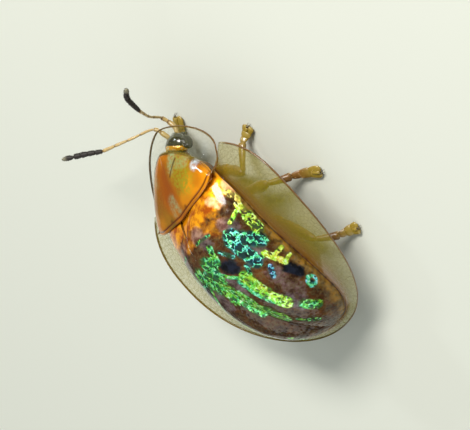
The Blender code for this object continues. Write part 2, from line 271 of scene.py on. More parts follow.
def innerEdge(y):                 # the inner edge gives way to the scutellum in front
    notch = np.clip(1 - (y - shellShape["crestFrontY"]) / shellShape["notchLength"], 0, None)
    return shellShape["halfSuture"] + shellShape["notchHalfWidth"] * np.clip(notch, 0, 1)


# u runs from shoulder to tail; s from the suture (0) over the disc edge (1) to the margin (2)
def wingCaseSurface(u, s):
    shape = shellShape
    u, s = np.broadcast_arrays(np.asarray(u, float), np.asarray(s, float))
    ahead = np.clip(-u, 0, None)          # rows with u below 0 slide under the pronotum
    back = np.clip(u, 0, None)
    discX, discY = ovalPoint(shape["shoulderAngle"] + (pi - shape["shoulderAngle"]) * u,
                             shape["discHalfWidth"], shape["discWidest"], shape["discFrontReach"],
                             shape["discRear"] - shape["discWidest"], shape["discFrontPower"],
                             shape["discRearPower"])
    rimX, rimY = ovalPoint(shape["lobeAngle"] + (pi - shape["lobeAngle"]) * back,
                           shape["rimHalfWidth"], shape["rimWidest"], shape["rimFrontReach"],
                           shape["bodyRear"] - shape["rimWidest"], shape["rimFrontPower"],
                           shape["rimRearPower"])
    middleY = shape["crestFrontY"] + (shape["discRear"] - shape["crestFrontY"]) * back ** 1.05
    middleY = middleY - shape["tuckLength"] * ahead
    fade = np.clip((shape["discRear"] + 0.2 - discY) / 1.2, 0, 1)
    discZ = marginHeight(discY) + shape["discStep"] * (0.35 + 0.65 * fade)
    middleZ = np.maximum(crestLine(middleY), discZ)
    fall = shape["shoulderFall"] + (shape["domeFall"] - shape["shoulderFall"]) * np.clip(u / 0.35, 0, 1)
    discZ = discZ - shape["tuckDrop"] * ahead
    discX = np.maximum(discX, innerEdge(middleY))
    rimX = np.maximum(rimX, shape["halfSuture"])
    t = np.sin(pi / 2 * np.clip(s, 0, 1))
    disc = np.stack([innerEdge(middleY) + (discX - innerEdge(middleY)) * t,
                     middleY + (discY - middleY) * t,
                     discZ + (middleZ - discZ) * np.clip(1 - t ** shape["domePower"], 0, None) ** fall], -1)
    r = np.clip(s - 1, 0, 1)
    brim = np.stack([discX + (rimX - discX) * r, discY + (rimY - discY) * r,
                     discZ + (marginHeight(rimY) - discZ) * (1 - (1 - r) ** 1.4)], -1)
    return np.where((s > 1)[..., None], brim, disc)


# Lengths in mm; ribs and cells are counts, tuck and places are shares along and across.
wingCase = {
    "tuck": 0.055, "ribs": 264, "discCells": 88, "brimCells": 36,
    "discThickness": 0.10, "brimThickness": 0.045, "beadRadius": 0.024,
    "rowsOfPits": 11, "pitSpacing": 0.165, "pitRadius": 0.045, "pitDepth": 0.009,
    "waviness": 0.012, "wavinessSize": 0.30,
    "shoulderPlace": (0.02, 0.66), "shoulderRise": 0.10, "shoulderWidth": 1.0,
    "sutureRise": 0.003, "discEdgeDepth": 0.012,
    "leftSpread": 0.13,     # how far outward the left side's patches lie
}

# Patches of sheen: places (along, across) on the wing case, half width in mm, colour (0 gold, 0.5 green,
# 1 blue), how solid, how strong, and -1 or 1 where only the right or the left wing case has it.
sheenPatches = [
    (((0.06, 0.80), (0.10, 0.86)), 0.09, 0.0, 0.90, 0.6),
    (((0.115, 0.79), (0.14, 0.80)), 0.10, 0.14, 0.80, 1.0),
    (((0.13, 0.72), (0.15, 0.57)), 0.05, 0.30, 0.90, 0.9),
    (((0.16, 0.80), (0.205, 0.80)), 0.15, 0.27, 0.45, 1.0),
    (((0.185, 0.50), (0.225, 0.72)), 0.19, 0.68, 0.30, 1.2),
    (((0.20, 0.47), (0.27, 0.53)), 0.17, 0.72, 0.34, 1.2),
    (((0.25, 0.49), (0.26, 0.61)), 0.05, 0.55, 0.85, 1.0),
    (((0.25, 0.65), (0.31, 0.75)), 0.08, 0.18, 0.95, 1.2),
    (((0.255, 0.86), (0.27, 0.70)), 0.05, 0.22, 0.95, 1.1),
    (((0.29, 0.86), (0.31, 0.75)), 0.05, 0.24, 0.95, 1.1),
    (((0.28, 0.43), (0.33, 0.39)), 0.07, 0.66, 0.35, 0.8),
    (((0.31, 0.60), (0.36, 0.56)), 0.08, 0.85, 0.25, 0.8),
    (((0.33, 0.12), (0.345, 0.21), (0.35, 0.30)), 0.05, 0.50, 0.90, 1.0),
    (((0.34, 0.34), (0.42, 0.355), (0.50, 0.38), (0.58, 0.44)), 0.15, 0.34, 1.0, 1.3),
    (((0.38, 0.24), (0.47, 0.27), (0.56, 0.34)), 0.06, 0.62, 0.80, 0.9, -1),
    (((0.28, 0.08), (0.36, 0.04), (0.45, 0.0)), 0.26, 0.50, 0.55, 1.0),
    (((0.42, 0.0), (0.55, 0.0)), 0.21, 0.46, 0.70, 1.1),
    (((0.50, 0.0), (0.62, 0.04), (0.69, 0.07), (0.757, 0.09)), 0.28, 0.44, 0.80, 1.1, -1),
    (((0.50, 0.0), (0.62, 0.0), (0.70, 0.0)), 0.14, 0.50, 0.75, 1.0, 1),
    (((0.19, 0.24), (0.25, 0.21)), 0.085, 0.50, 0.60, 0.9),
    (((0.26, 0.18), (0.30, 0.11)), 0.06, 0.62, 0.40, 0.8),
    (((0.215, 0.30), (0.235, 0.39)), 0.06, 0.72, 0.25, 0.5),
    (((0.15, 0.13), (0.145, 0.31)), 0.06, 0.56, 0.40, 0.5),
    (((0.61, 0.56), (0.66, 0.67)), 0.13, 0.48, 0.60, 0.8),
    (((0.77, 0.32), (0.82, 0.52)), 0.08, 0.46, 0.40, 0.5),
]
# Stains and a painted halo of light: attribute, places, half width in mm, strength. The glow rows paint a
# pale peach halo of light beside the shoulder highlight.
stainPatches = [
    ("amber", ((0.0, 0.0), (0.0, 0.45)), 0.42, 1.0),
    ("amber", ((0.03, 0.10), (0.05, 0.45)), 0.36, 1.0),
    ("amber", ((0.08, 0.0), (0.14, 0.03)), 0.24, 0.55),
    ("amber", ((0.0, 0.45), (0.02, 0.95)), 0.34, 1.0),
    ("amber", ((0.11, 0.12), (0.14, 0.46)), 0.30, 0.42),
    # painted light: a pale peach halo on both sides of the shoulder highlight
    ("glow", ((0.030, 0.90), (0.062, 0.86)), 0.13, 0.9),
    ("glow", ((0.045, 0.50), (0.075, 0.58)), 0.13, 0.9),
    ("spot", ((0.27, 0.25), (0.285, 0.31)), 0.21, 1.0),
    ("spot", ((0.345, 0.73), (0.375, 0.80)), 0.18, 1.0),
    ("spot", ((0.465, 0.80), (0.475, 0.82)), 0.06, 1.0),
    ("haze", ((0.55, 0.50), (0.61, 0.56)), 0.24, 0.5),
    ("haze", ((0.14, 0.50), (0.17, 0.60)), 0.20, 0.5),
    ("haze", ((0.11, 0.15), (0.17, 0.24)), 0.24, 0.45),
    ("haze", ((0.36, 0.12), (0.45, 0.20)), 0.22, 0.4),
    ("haze", ((0.22, 0.60), (0.25, 0.64)), 0.24, 0.4),
    ("haze", ((0.34, 0.60), (0.50, 0.62)), 0.30, 0.3),
]
ringSpot = {"place": (0.463, 0.82), "radius": 0.11, "width": 0.05, "hue": 0.70, "solid": 0.9,
            "strength": 0.66}


def acrossPlate(size):            # from the middle over the raised part to the margin
    return np.concatenate([np.linspace(0, 1, size["discCells"] + 1),
                           1 + np.linspace(0, 1, size["brimCells"] + 1)[1:]])[None]


# The rounded bead that closes a plate's margin, and how far each point of the plate moves in to meet it.
def marginBead(plain, outward, s, size):
    bead = size["beadRadius"]
    edgeWay = plain[:, -1] - plain[:, -3]
    edgeWay /= np.linalg.norm(edgeWay, axis=1)[:, None]
    edgeNormal = outward[:, -1]
    centre = plain[:, -1] - edgeWay * bead - edgeNormal * (size["brimThickness"] / 2)
    turns = np.linspace(0.5 * pi, -0.5 * pi, 7)
    beadPoints = np.stack([centre + edgeNormal * (bead * 1.25 * sin(a)) + edgeWay * (bead * cos(a))
                           for a in turns], 1)
    return beadPoints, edgeWay[:, None] * (smoothStep(1.9, 2.0, s)[..., None] * bead)


def plateThickness(s, size, reach):
    return size["discThickness"] + (size["brimThickness"] - size["discThickness"]) * smoothStep(0.9, reach, s)


# distance in mm from each point to the nearest puncture of the rows on a wing case
def pitDistances(u, s, cellLength, middleY):
    rows = wingCase["rowsOfPits"]
    along = (middleY - shellShape["crestFrontY"]) / wingCase["pitSpacing"]
    across = np.clip(s, 0, 1.05) * rows - 0.62
    nearest = np.full(u.shape, farAway)
    for rowStep in (-1, 0, 1):
        row = np.round(across) + rowStep
        shift = np.modf(np.abs(np.sin(row * 12.9898)) * 43.37)[0]
        for pitStep in (-1, 0, 1):
            pit = np.round(along - shift) + pitStep
            wobble = np.modf(np.abs(np.sin(row * 78.233 + pit * 37.719)) * 437.58)[0] - 0.5
            drift = np.modf(np.abs(np.sin(row * 26.651 + pit * 91.17)) * 231.41)[0] - 0.5
            offAcross = (across - row - 0.34 * wobble) * cellLength
            offAlong = (along - shift - pit - 0.42 * drift) * wingCase["pitSpacing"]
            allowed = (row >= 0) & (row <= rows)
            nearest = np.where(allowed, np.minimum(nearest, np.hypot(offAcross, offAlong)), nearest)
    return nearest


def makeWingCase(name, side, materials):
    size = wingCase
    u = np.concatenate([np.linspace(-size["tuck"], 0, 7)[:-1], np.linspace(0, 0.99995, size["ribs"] + 1)])
    u, s = np.broadcast_arrays(u[:, None], acrossPlate(size))
    plain = wingCaseSurface(u, s)
    outward = gridNormals(plain)
    middleY = plain[:, :1, 1] + 0 * s
    stepLength = np.linalg.norm(np.gradient(plain, axis=1), axis=-1)
    onDisc = s <= 1
    discLength = (stepLength * onDisc).sum(1, keepdims=True)
    pit = pitDistances(u, s, discLength / size["rowsOfPits"] + 0 * s, middleY)
    pit = np.where(s > 1.03, farAway, pit)

    # relief: punctures, waves, the shoulder's swelling and the raised suture
    waviness = size["wavinessSize"]
    wave = unevenness(plain, waviness, 3.1) + 0.5 * unevenness(plain, waviness / 2, 7.7)
    beforeTail = 1 - smoothStep(0.96, 1.0, u)
    dent = size["pitDepth"] * (1 - smoothStep(0.2, 1.0, pit / size["pitRadius"])) * smoothStep(0.08, 0.30, u)
    calm = smoothStep(0.0, 0.05, s) * (1 - smoothStep(0.93, 1.0, s)) * (1 - smoothStep(0.93, 1.0, u))
    calm = calm * (0.12 + 0.88 * smoothStep(0.10, 0.34, u))
    discEdge = smoothStep(0.90, 1.0, s) * (1 - smoothStep(1.0, 1.10, s)) * (1 - smoothStep(0.95, 1.0, u))
    sutureBead = (1 - smoothStep(0.0, 0.045, s)) * smoothStep(0.02, 0.10, u) * (1 - smoothStep(0.90, 1.0, u))
    lift = wave * size["waviness"] * calm - dent * (1 - smoothStep(0.97, 1.03, s)) * beforeTail
    fromShoulder = np.linalg.norm(plain - wingCaseSurface(*size["shoulderPlace"]), axis=-1)
    lift += size["shoulderRise"] * np.exp(-(fromShoulder / size["shoulderWidth"]) ** 2) * onDisc
    lift += size["sutureRise"] * sutureBead - size["discEdgeDepth"] * discEdge

    thickness = plateThickness(s, size, 1.15) * (1 - 0.5 * smoothStep(0.9, 1.0, u))
    beadPoints, inward = marginBead(plain, outward, s, size)
    top = plain + outward * lift[..., None] - inward
    under = plain - outward * thickness[..., None] - inward
    ring = np.concatenate([top, beadPoints, under[:, ::-1]], axis=1)
    ring[..., 0] = np.maximum(ring[..., 0], shellShape["halfSuture"])
    rows, columns = ring.shape[:2]
    across = top.shape[1]
    faces = gridFaces(rows, columns)
    for start in (0, (rows - 1) * columns):
        for k in range(across - 1):
            faces.append((start + k, start + k + 1, start + columns - 2 - k, start + columns - 1 - k))
        faces.append(tuple(start + k for k in range(across - 1, columns - across + 1)))

    # paint: where each patch lies, as a number per point
    paint = {key: np.zeros(plain.shape[:2]) for key in ("sheen", "amber", "glow", "spot", "haze")}
    hueSum, solidSum, weightSum = (np.full(plain.shape[:2], 1e-4) for _ in range(3))
    hueSum *= 0.5
    ragged = 0.45 * wave + 0.35 * unevenness(plain, 0.08, 1.9)
    spread = size["leftSpread"] if side > 0 else 0.0
    masks = []
    for places, width, hue, solid, strength, *onlySide in sheenPatches:
        if onlySide and onlySide[0] != side:
            continue
        spots = [wingCaseSurface(u0, s0 + spread * min(s0 / 0.3, 1)) for u0, s0 in places]
        away = np.min([distanceToLine(plain, a, b) for a, b in zip(spots, spots[1:])], axis=0)
        masks.append((strength * (1 - smoothStep(0.35, 1.45, away / width + 0.5 * ragged)), hue, solid))
    fromRing = np.linalg.norm(plain - wingCaseSurface(*ringSpot["place"]), axis=-1) - ringSpot["radius"]
    onRing = 1 - smoothStep(0.3, 1.6, np.abs(fromRing) / ringSpot["width"] + 1.2 * ragged)
    masks.append((ringSpot["strength"] * onRing, ringSpot["hue"], ringSpot["solid"]))
    for mask, hue, solid in masks:
        paint["sheen"] = np.maximum(paint["sheen"], mask)
        hueSum += mask ** 2 * hue
        solidSum += mask ** 2 * solid
        weightSum += mask ** 2
    for key, places, width, strength in stainPatches:
        away = distanceToLine(plain, *(wingCaseSurface(*place) for place in places))
        mask = strength * (1 - smoothStep(0.4, 1.4, away / width + 0.7 * ragged))
        paint[key] = np.maximum(paint[key], mask)
    paint["hue"] = hueSum / weightSum
    paint["solid"] = solidSum / weightSum
    paint["pit"] = np.minimum(pit, 0.2)
    toMargin = np.linalg.norm(plain - plain[:, -1:], axis=-1)
    fromDiscEdge = np.linalg.norm(plain - plain[:, size["discCells"]][:, None], axis=-1)
    rim = (1 - smoothStep(0.018, 0.042, toMargin)) * (0.3 + 0.7 * smoothStep(0.01, 0.05, u))
    rimLine = 0.8 * (1 - smoothStep(0.006, 0.018, abs(fromDiscEdge - 0.075))) * (s > 1)
    paint["edge"] = np.maximum(rim, rimLine)
    paint["brim"] = smoothStep(0.98, 1.62, s + 0.05 * ragged)
    paint["wall"] = smoothStep(0.74, 0.92, s + 0.05 * ragged)
    paint["seam"] = np.maximum(0.5 * (1 - smoothStep(0.006, 0.02, plain[..., 0])),
                               0.9 * (1 - smoothStep(0.008, 0.022, fromDiscEdge)))

    attributes = {}
    for key, values in paint.items():
        onBead = np.repeat(values[:, -1:], beadPoints.shape[1], axis=1)
        attributes[key] = np.concatenate([values, onBead, values[:, ::-1]], axis=1).ravel()
    points = ring.reshape(-1, 3) * (side, 1, 1)
    if side > 0:
        faces = [tuple(reversed(face)) for face in faces]
    discEnd = size["discCells"] + 2
    slots = []
    for face in faces:
        places = [index % columns for index in face[:4]]
        slots.append(0 if max(places) < discEnd or min(places) >= columns - discEnd else 1)
    makePiece(f"wing_case_{name}", points, faces, materials, faceSlots=slots, attributes=attributes,
              slot="elytra", replaces=(f"elytron_{name}",))


# Sizes in the lacquer: so many of each pattern to the millimetre, and the rest in millimetres.
lacquer = {
    "blotchesPerMm": 3.5, "grainsPerMm": 14.0, "cloudsPerMm": 5.0, "driftsPerMm": 7.0, "meshesPerMm": 4.6,
    "pitFloor": (0.016, 0.040), "pitBorder": (0.058, 0.078), "bumpHeight": 0.012,
    # the sheen's hue from gold over green to blue
    "hues": ((0.0, "#f8dc6a"), (0.16, "#e2f050"), (0.34, "#9fe63a"), (0.50, "#58d24e"),
             (0.66, "#62e6a4"), (0.82, "#5cd2dc"), (1.0, "#8f9cf0")),
}


def lacquerMaterial(name, low, high, layers, metalShare):
    # Living lacquered cuticle over a reflecting layer: brown pigment, a ragged metallic net of gold, green
    # and blue between dark punctures, and a wet clear coat that gives sharp highlights.
    material, tree, shader, place = startMaterial(name, {
        "Coat Weight": 1.0, "Coat Roughness": 0.08, "Coat IOR": 1.38, "Specular IOR Level": 0.0})
    add = partial(addNode, tree)
    paint = {key: add("Attribute", attribute_name=key).outputs["Fac"]
             for key in ("sheen", "hue", "solid", "pit", "amber", "glow", "spot", "haze", "wall", "edge",
                         "seam")}
    blotch = add("TexNoise", {"Vector": place, "Scale": lacquer["blotchesPerMm"], "Detail": 5.0,
                              "Roughness": 0.6})
    grain = add("TexNoise", {"Vector": place, "Scale": lacquer["grainsPerMm"], "Detail": 4.0,
                             "Roughness": 0.65})
    colour = add("ValToRGB", [blotch])
    fillRamp(colour, ((0.30, low), (0.72, high)))
    # each stain, and the painted halo of light (glow), is cloudy inside and its border follows the blotches
    cloud = add("TexNoise", {"Vector": place, "Scale": lacquer["cloudsPerMm"], "Detail": 3.0,
                             "Roughness": 0.55})
    clouded = add("MapRange", [cloud, 0.36, 0.62])
    for key, deep, bright in layers:
        border = add("Math", [blotch, 0.9, paint[key]], operation="MULTIPLY_ADD")
        share = add("MapRange", [border, 0.62, 1.28])
        tint = add("Mix", [clouded, deep, bright], data_type="RGBA")
        colour = add("Mix", [share, colour, tint], data_type="RGBA")

    # mottling, from dark smudges to plain cuticle
    smudge = add("MapRange", [paint["amber"], 0, 1, 0.50, 0.86])
    mottled = add("MapRange", [cloud, 0.34, 0.58, smudge, 1.12])
    colour = add("Mix", [1.0, colour, mottled], data_type="RGBA", blend_type="MULTIPLY")

    # the net: crooked ridges about 0.2 mm apart, wide where the sheen is solid and broken where it isn't
    drift = add("TexNoise", {"Vector": place, "Scale": lacquer["driftsPerMm"], "Detail": 2.0})
    bent = add("VectorMath", [drift.outputs["Color"], (0.30, 0.30, 0.30), place], operation="MULTIPLY_ADD")
    bent = add("VectorMath", [grain.outputs["Color"], (0.11, 0.11, 0.11), bent], operation="MULTIPLY_ADD")
    meshes = add("TexVoronoi", {"Vector": bent, "Scale": lacquer["meshesPerMm"]}, feature="DISTANCE_TO_EDGE")
    filled = add("Math", [paint["solid"], 2.0], operation="POWER")
    width = add("MapRange", [filled, 0, 1, 0.05, 0.36])
    swell = add("MapRange", [drift, 0.32, 0.66, 0.15, 1.7])
    torn = add("Math", [drift, 1.1, paint["sheen"]], operation="MULTIPLY_ADD")
    torn = add("Math", [blotch, 0.7, torn], operation="MULTIPLY_ADD")
    patch = add("MapRange", [torn, 1.04, 1.60])
    painted = add("MapRange", [paint["sheen"], 0.04, 0.40])
    patch = add("Math", [patch, painted], operation="MULTIPLY")
    width = add("Math", [width, swell], operation="MULTIPLY")
    thinning = add("MapRange", [patch, 0, 0.7, 0.25, 1.0])
    width = add("Math", [width, thinning], operation="MULTIPLY")
    reach = add("Math", [width, 1.6, 0.03], operation="MULTIPLY_ADD")
    crest = add("MapRange", [meshes, reach, 0.0])
    ridge = add("MapRange", [crest, 0.22, 0.72], interpolation_type="SMOOTHSTEP")
    wobbling = add("Math", [grain, 0.06, paint["pit"]], operation="MULTIPLY_ADD")
    clearOfPit = add("MapRange", [wobbling, *lacquer["pitBorder"]], interpolation_type="SMOOTHSTEP")
    net = add("Math", [ridge, clearOfPit], operation="MULTIPLY")
    begun = add("MapRange", [patch, 0.02, 0.75])
    sheen = add("Math", [net, begun], operation="MULTIPLY", use_clamp=True)
    shifted = add("Math", [grain, 0.55, paint["hue"]], operation="MULTIPLY_ADD")
    shifted = add("Math", [cloud, 0.7, shifted], operation="MULTIPLY_ADD")
    shifted = add("Math", [shifted, 0.62], operation="SUBTRACT")
    rainbow = add("ValToRGB", [shifted])
    fillRamp(rainbow, lacquer["hues"])

    # painted highlight: bright along the middle of each ridge, dim toward its foot, with near-white painted
    # glints on the crests
    lively = add("MapRange", [grain, 0.34, 0.60, 0.55, 1.4])
    middle = add("MapRange", [crest, 0.20, 0.80, 0.35, 1.0])
    lively = add("Math", [lively, middle], operation="MULTIPLY")
    glowing = add("Mix", [1.0, rainbow, lively], data_type="RGBA", blend_type="MULTIPLY")
    glint = add("Math", [grain, crest], operation="MULTIPLY")
    glint = add("MapRange", [glint, 0.46, 0.60, 0, 0.8])
    glowing = add("Mix", [glint, glowing, "#f2ffdc"], data_type="RGBA")

    # a faint net shows everywhere behind the front
    dusk = add("Mix", [clouded, "#72603c", "#5c6a48"], data_type="RGBA")
    faint = add("Math", [net, 0.24], operation="MULTIPLY")
    plainly = add("Math", [paint["amber"], paint["spot"]], operation="MAXIMUM")
    behind = add("MapRange", [plainly, 0, 1, 1.0, 0.0])
    faint = add("Math", [faint, behind], operation="MULTIPLY")
    colour = add("Mix", [faint, colour, dusk], data_type="RGBA")
    # a dim coloured bloom spreads from each patch, and the floor between the ridges is nearly black
    bloomShare = add("Math", [clouded, 0.5, 0.35], operation="MULTIPLY_ADD")
    bloom = add("MapRange", [paint["sheen"], 0.02, 0.6, 0, bloomShare])
    dim = add("Mix", [0.78, rainbow, "#101608"], data_type="RGBA")
    colour = add("Mix", [bloom, colour, dim], data_type="RGBA")
    lit = add("MapRange", [paint["solid"], 0.35, 0.85, 0.02, 0.26])
    depth = add("Mix", [lit, "#06162a", rainbow], data_type="RGBA")
    dark = add("Math", [patch, 0.85], operation="MULTIPLY")
    colour = add("Mix", [dark, colour, depth], data_type="RGBA")
    colour = add("Mix", [sheen, colour, glowing], data_type="RGBA")
    inPatch = add("MapRange", [patch, 0, 1, 0.18, 0.8])
    pitShade = add("MapRange", [paint["pit"], *lacquer["pitFloor"], inPatch, 0.0])
    pale = add("MapRange", [paint["amber"], 0, 1, 1.0, 0.15])
    pitShade = add("Math", [pitShade, pale], operation="MULTIPLY")
    colour = add("Mix", [pitShade, colour, "#1a0b0c"], data_type="RGBA")
    colour = add("Mix", [paint["edge"], colour, "#5a3110"], data_type="RGBA")
    metal = add("Math", [sheen, metalShare], operation="MULTIPLY")
    gilded = add("Math", [paint["amber"], 0.35], operation="MULTIPLY")
    metal = add("Math", [metal, gilded], operation="MAXIMUM")
    rough = add("MapRange", [grain, 0, 1, 0.22, 0.48])
    height = add("Math", [grain, 0.5, sheen], operation="MULTIPLY_ADD")
    bump = add("Bump", {"Height": height, "Strength": 0.35, "Distance": lacquer["bumpHeight"] * mm})
    giveInputs(tree, shader, {"Base Color": colour, "Metallic": metal, "Roughness": rough, "Normal": bump})
    return material


# The clear sheet: cells and clouds to the millimetre, and half a cell's wall and the bump in millimetres.
clearSheet = {"cellsPerMm": 8.0, "cloudsPerMm": 2.2, "cellWall": (0.02, 0.16), "bumpHeight": 0.01}


def clearCuticleMaterial(name, tint, rimTint, thin, thick, network):
    # Clear cuticle, like thin horn: olive-yellow, see-through, amber where it joins the raised part, with a
    # fine cell network inside and a brown rim that draws the outline.
    material, tree, shader, place = startMaterial(name, {
        "Coat Weight": 0.6, "Coat Roughness": 0.06, "IOR": 1.5, "Roughness": 0.18})
    add = partial(addNode, tree)
    edge, brim = (add("Attribute", attribute_name=key).outputs["Fac"] for key in ("edge", "brim"))
    cells = add("TexVoronoi", {"Vector": place, "Scale": clearSheet["cellsPerMm"]},
                feature="DISTANCE_TO_EDGE")
    cloud = add("TexNoise", {"Vector": place, "Scale": clearSheet["cloudsPerMm"], "Detail": 4.0})
    wall = add("MapRange", [cells, *clearSheet["cellWall"], 1.0, 0.0])
    body = add("Mix", [cloud, tint, "#948a20"], data_type="RGBA")
    inner = add("Mix", [brim, "#6e4612", body], data_type="RGBA")
    colour = add("Mix", [edge, inner, rimTint], data_type="RGBA")
    veil = add("Math", [wall, network, thin], operation="MULTIPLY_ADD")
    left = add("Math", [1.0, brim], operation="SUBTRACT")
    left = add("Math", [left, 1.9], operation="POWER")
    veil = add("MapRange", [left, 0, 1, veil, thick])
    # light has a longer way through the sheet where it is seen at a slant
    slant = add("LayerWeight", {"Blend": 0.5})
    level = add("MapRange", [slant.outputs["Facing"], 0, 1, 1.0, 0.12])
    longer = add("Math", [1.0, level], operation="DIVIDE")
    passed = add("Math", [1.0, veil], operation="SUBTRACT")
    passed = add("Math", [passed, longer], operation="POWER")
    veil = add("Math", [1.0, passed], operation="SUBTRACT")
    alpha = add("Math", [veil, edge], operation="MAXIMUM")
    height = add("Math", [wall, cloud], operation="ADD")
    bump = add("Bump", {"Height": height, "Strength": 0.22, "Distance": clearSheet["bumpHeight"] * mm})
    giveInputs(tree, shader, {"Base Color": colour, "Alpha": alpha, "Normal": bump})
    return material


# the glow layer paints a pale peach halo of light around the shoulder highlight
discMaterial = lacquerMaterial("lacqueredWingCase", "#28160a", "#6c421c", [
    ("wall", "#5c4214", "#8a6420"), ("amber", "#b8560a", "#f6a412"), ("glow", "#d48a48", "#f4c48c"),
    ("haze", "#66525a", "#8f8894"), ("spot", "#07080c", "#161b28"), ("seam", "#3c1a0a", "#4a240e")],
    metalShare=0.5)
brimMaterial = clearCuticleMaterial("clearWingCaseMargin", "#aea01c", "#6a4614", 0.16, 0.93, 0.11)
for name, side in (("right", -1), ("left", 1)):
    makeWingCase(name, side, [discMaterial, brimMaterial])
print("wing cases done")

# The pronotum: sizes in mm, seen from above; falls, powers and climb are exponents.
shield = {
    "halfWidth": 1.86, "widest": -2.10, "rearReach": 0.84, "frontPower": 1.54, "rearPower": 3.6,
    "frontHeight": -0.45, "rise": 0.66, "arch": 0.18, "cornerAngle": 2.20,
    "discFront": -2.93, "discHalfWidth": 1.62, "discWidest": -1.50, "discPower": 1.45, "discStep": 0.10,
    "climb": 1.5, "domePower": 2.4, "domeFallFront": 1.0, "domeFallRear": 0.5,
    "baseY": -1.28, "baseHeight": 0.88, "cornerX": 1.66, "cornerHeight": 0.46, "cornerBack": (0.12, 0.20),
    "ribs": 150, "discCells": 72, "brimCells": 30,
    "discThickness": 0.08, "brimThickness": 0.04, "beadRadius": 0.022,
    "hindLine": 0.105, "hindLineWidth": 0.022, "hindLineDepth": 0.018,
    "waviness": 0.006, "discEdgeDepth": 0.008,
}
# Patches on the pronotum: attribute, places seen from above in mm, half width, strength right and left. The
# pale blue-white patch on the right is a painted highlight.
shieldPatches = [
    ("gilt", ((0.66, -2.36), (0.78, -2.05)), 0.36, 1.0, 0.25),
    ("gilt", ((0.90, -2.05), (0.85, -1.78)), 0.22, 0.7, 0.0),
    ("frost", ((0.52, -2.64), (0.45, -2.46)), 0.14, 0.9, 0.2),
    ("frost", ((0.06, -1.86), (0.12, -1.52)), 0.11, 0.8, 0.3),
    ("frost", ((0.62, -2.45), (0.98, -2.30)), 0.10, 0.6, 0.0),
    ("ember", ((0.00, -2.32), (0.05, -2.00)), 0.34, 0.9, 0.9),
    ("ember", ((0.30, -2.25), (0.75, -2.05)), 0.32, 0.0, 0.9),
    ("ember", ((0.42, -2.10), (0.40, -1.90)), 0.12, 0.5, 0.5),
    ("ember", ((1.30, -1.95), (1.20, -1.75)), 0.16, 0.4, 0.4),
    ("amber", ((0.95, -1.70), (1.30, -1.62)), 0.30, 1.0, 0.5),
    ("amber", ((0.55, -1.60), (0.95, -1.52)), 0.18, 0.6, 0.2),
    ("olive", ((0.50, -1.42), (0.85, -1.85)), 0.28, 0.2, 0.9),
    # painted highlight: a pale blue-white spot on the right half of the disc
    ("paintedHighlight", ((1.22, -2.10), (1.26, -2.04)), 0.085, 0.9, 0.0),
    ("rose", ((0.60, -2.66), (1.00, -2.42)), 0.14, 0.7, 0.4),
    # dark streaks painted on the disc, where the shape has no crease
    ("darkStreak", ((0.66, -2.56), (0.31, -2.32)), 0.030, 0.8, 0.0),
    ("darkStreak", ((0.42, -1.46), (0.44, -1.46)), 0.045, 0.6, 0.6),
]


def shieldMarginHeight(x, y):
    return shield["frontHeight"] + shield["rise"] * (y - shellShape["bodyFront"]) - shield["arch"] * x * x


# u runs from the front to the hind edge; s from the midline (0) over the raised part (1) to the margin (2)
def shieldSurface(u, s):
    u, s = np.broadcast_arrays(np.asarray(u, float), np.asarray(s, float))
    rimX, rimY = ovalPoint(shield["cornerAngle"] * u, shield["halfWidth"], shield["widest"],
                           shield["widest"] - shellShape["bodyFront"], shield["rearReach"],
                           shield["frontPower"], shield["rearPower"])
    discX, discY = ovalPoint(pi / 2 * u, shield["discHalfWidth"], shield["discWidest"],
                             shield["discWidest"] - shield["discFront"], 1, shield["discPower"], 2)
    discZ = shieldMarginHeight(discX, discY) + shield["discStep"] * (1 - 0.6 * u ** 4)
    middleY = shield["discFront"] + (shield["baseY"] - shield["discFront"]) * u
    middleZ = shieldMarginHeight(0, shield["discFront"]) + shield["discStep"]
    middleZ = middleZ + (shield["baseHeight"] - middleZ) * (1 - (1 - u) ** shield["climb"])
    fall = shield["domeFallFront"] + (shield["domeFallRear"] - shield["domeFallFront"]) * u
    t = np.sin(pi / 2 * np.clip(s, 0, 1))
    disc = np.stack([discX * t, middleY + (discY - middleY) * t ** 1.7,
                     discZ + (middleZ - discZ) * np.clip(1 - t ** shield["domePower"], 0, None) ** fall], -1)
    r = np.clip(s - 1, 0, 1)[..., None]
    edge = np.stack([discX, discY, discZ], -1)
    rim = np.stack([rimX, rimY, shieldMarginHeight(rimX, rimY)], -1)
    point = np.where((s > 1)[..., None], edge + (rim - edge) * r, disc)
    corner = np.clip(np.abs(point[..., 0]) / shield["cornerX"], 0, 1.1)
    baseY = shield["baseY"] - shield["cornerBack"][0] * corner - shield["cornerBack"][1] * corner ** 8
    baseZ = shield["baseHeight"] + (shield["cornerHeight"] - shield["baseHeight"]) * corner ** 2
    settle = np.clip((u - 0.8) / 0.2, 0, 1) ** 1.5
    point[..., 1] += (baseY - point[..., 1]) * settle
    point[..., 2] += (baseZ - point[..., 2]) * settle
    return point


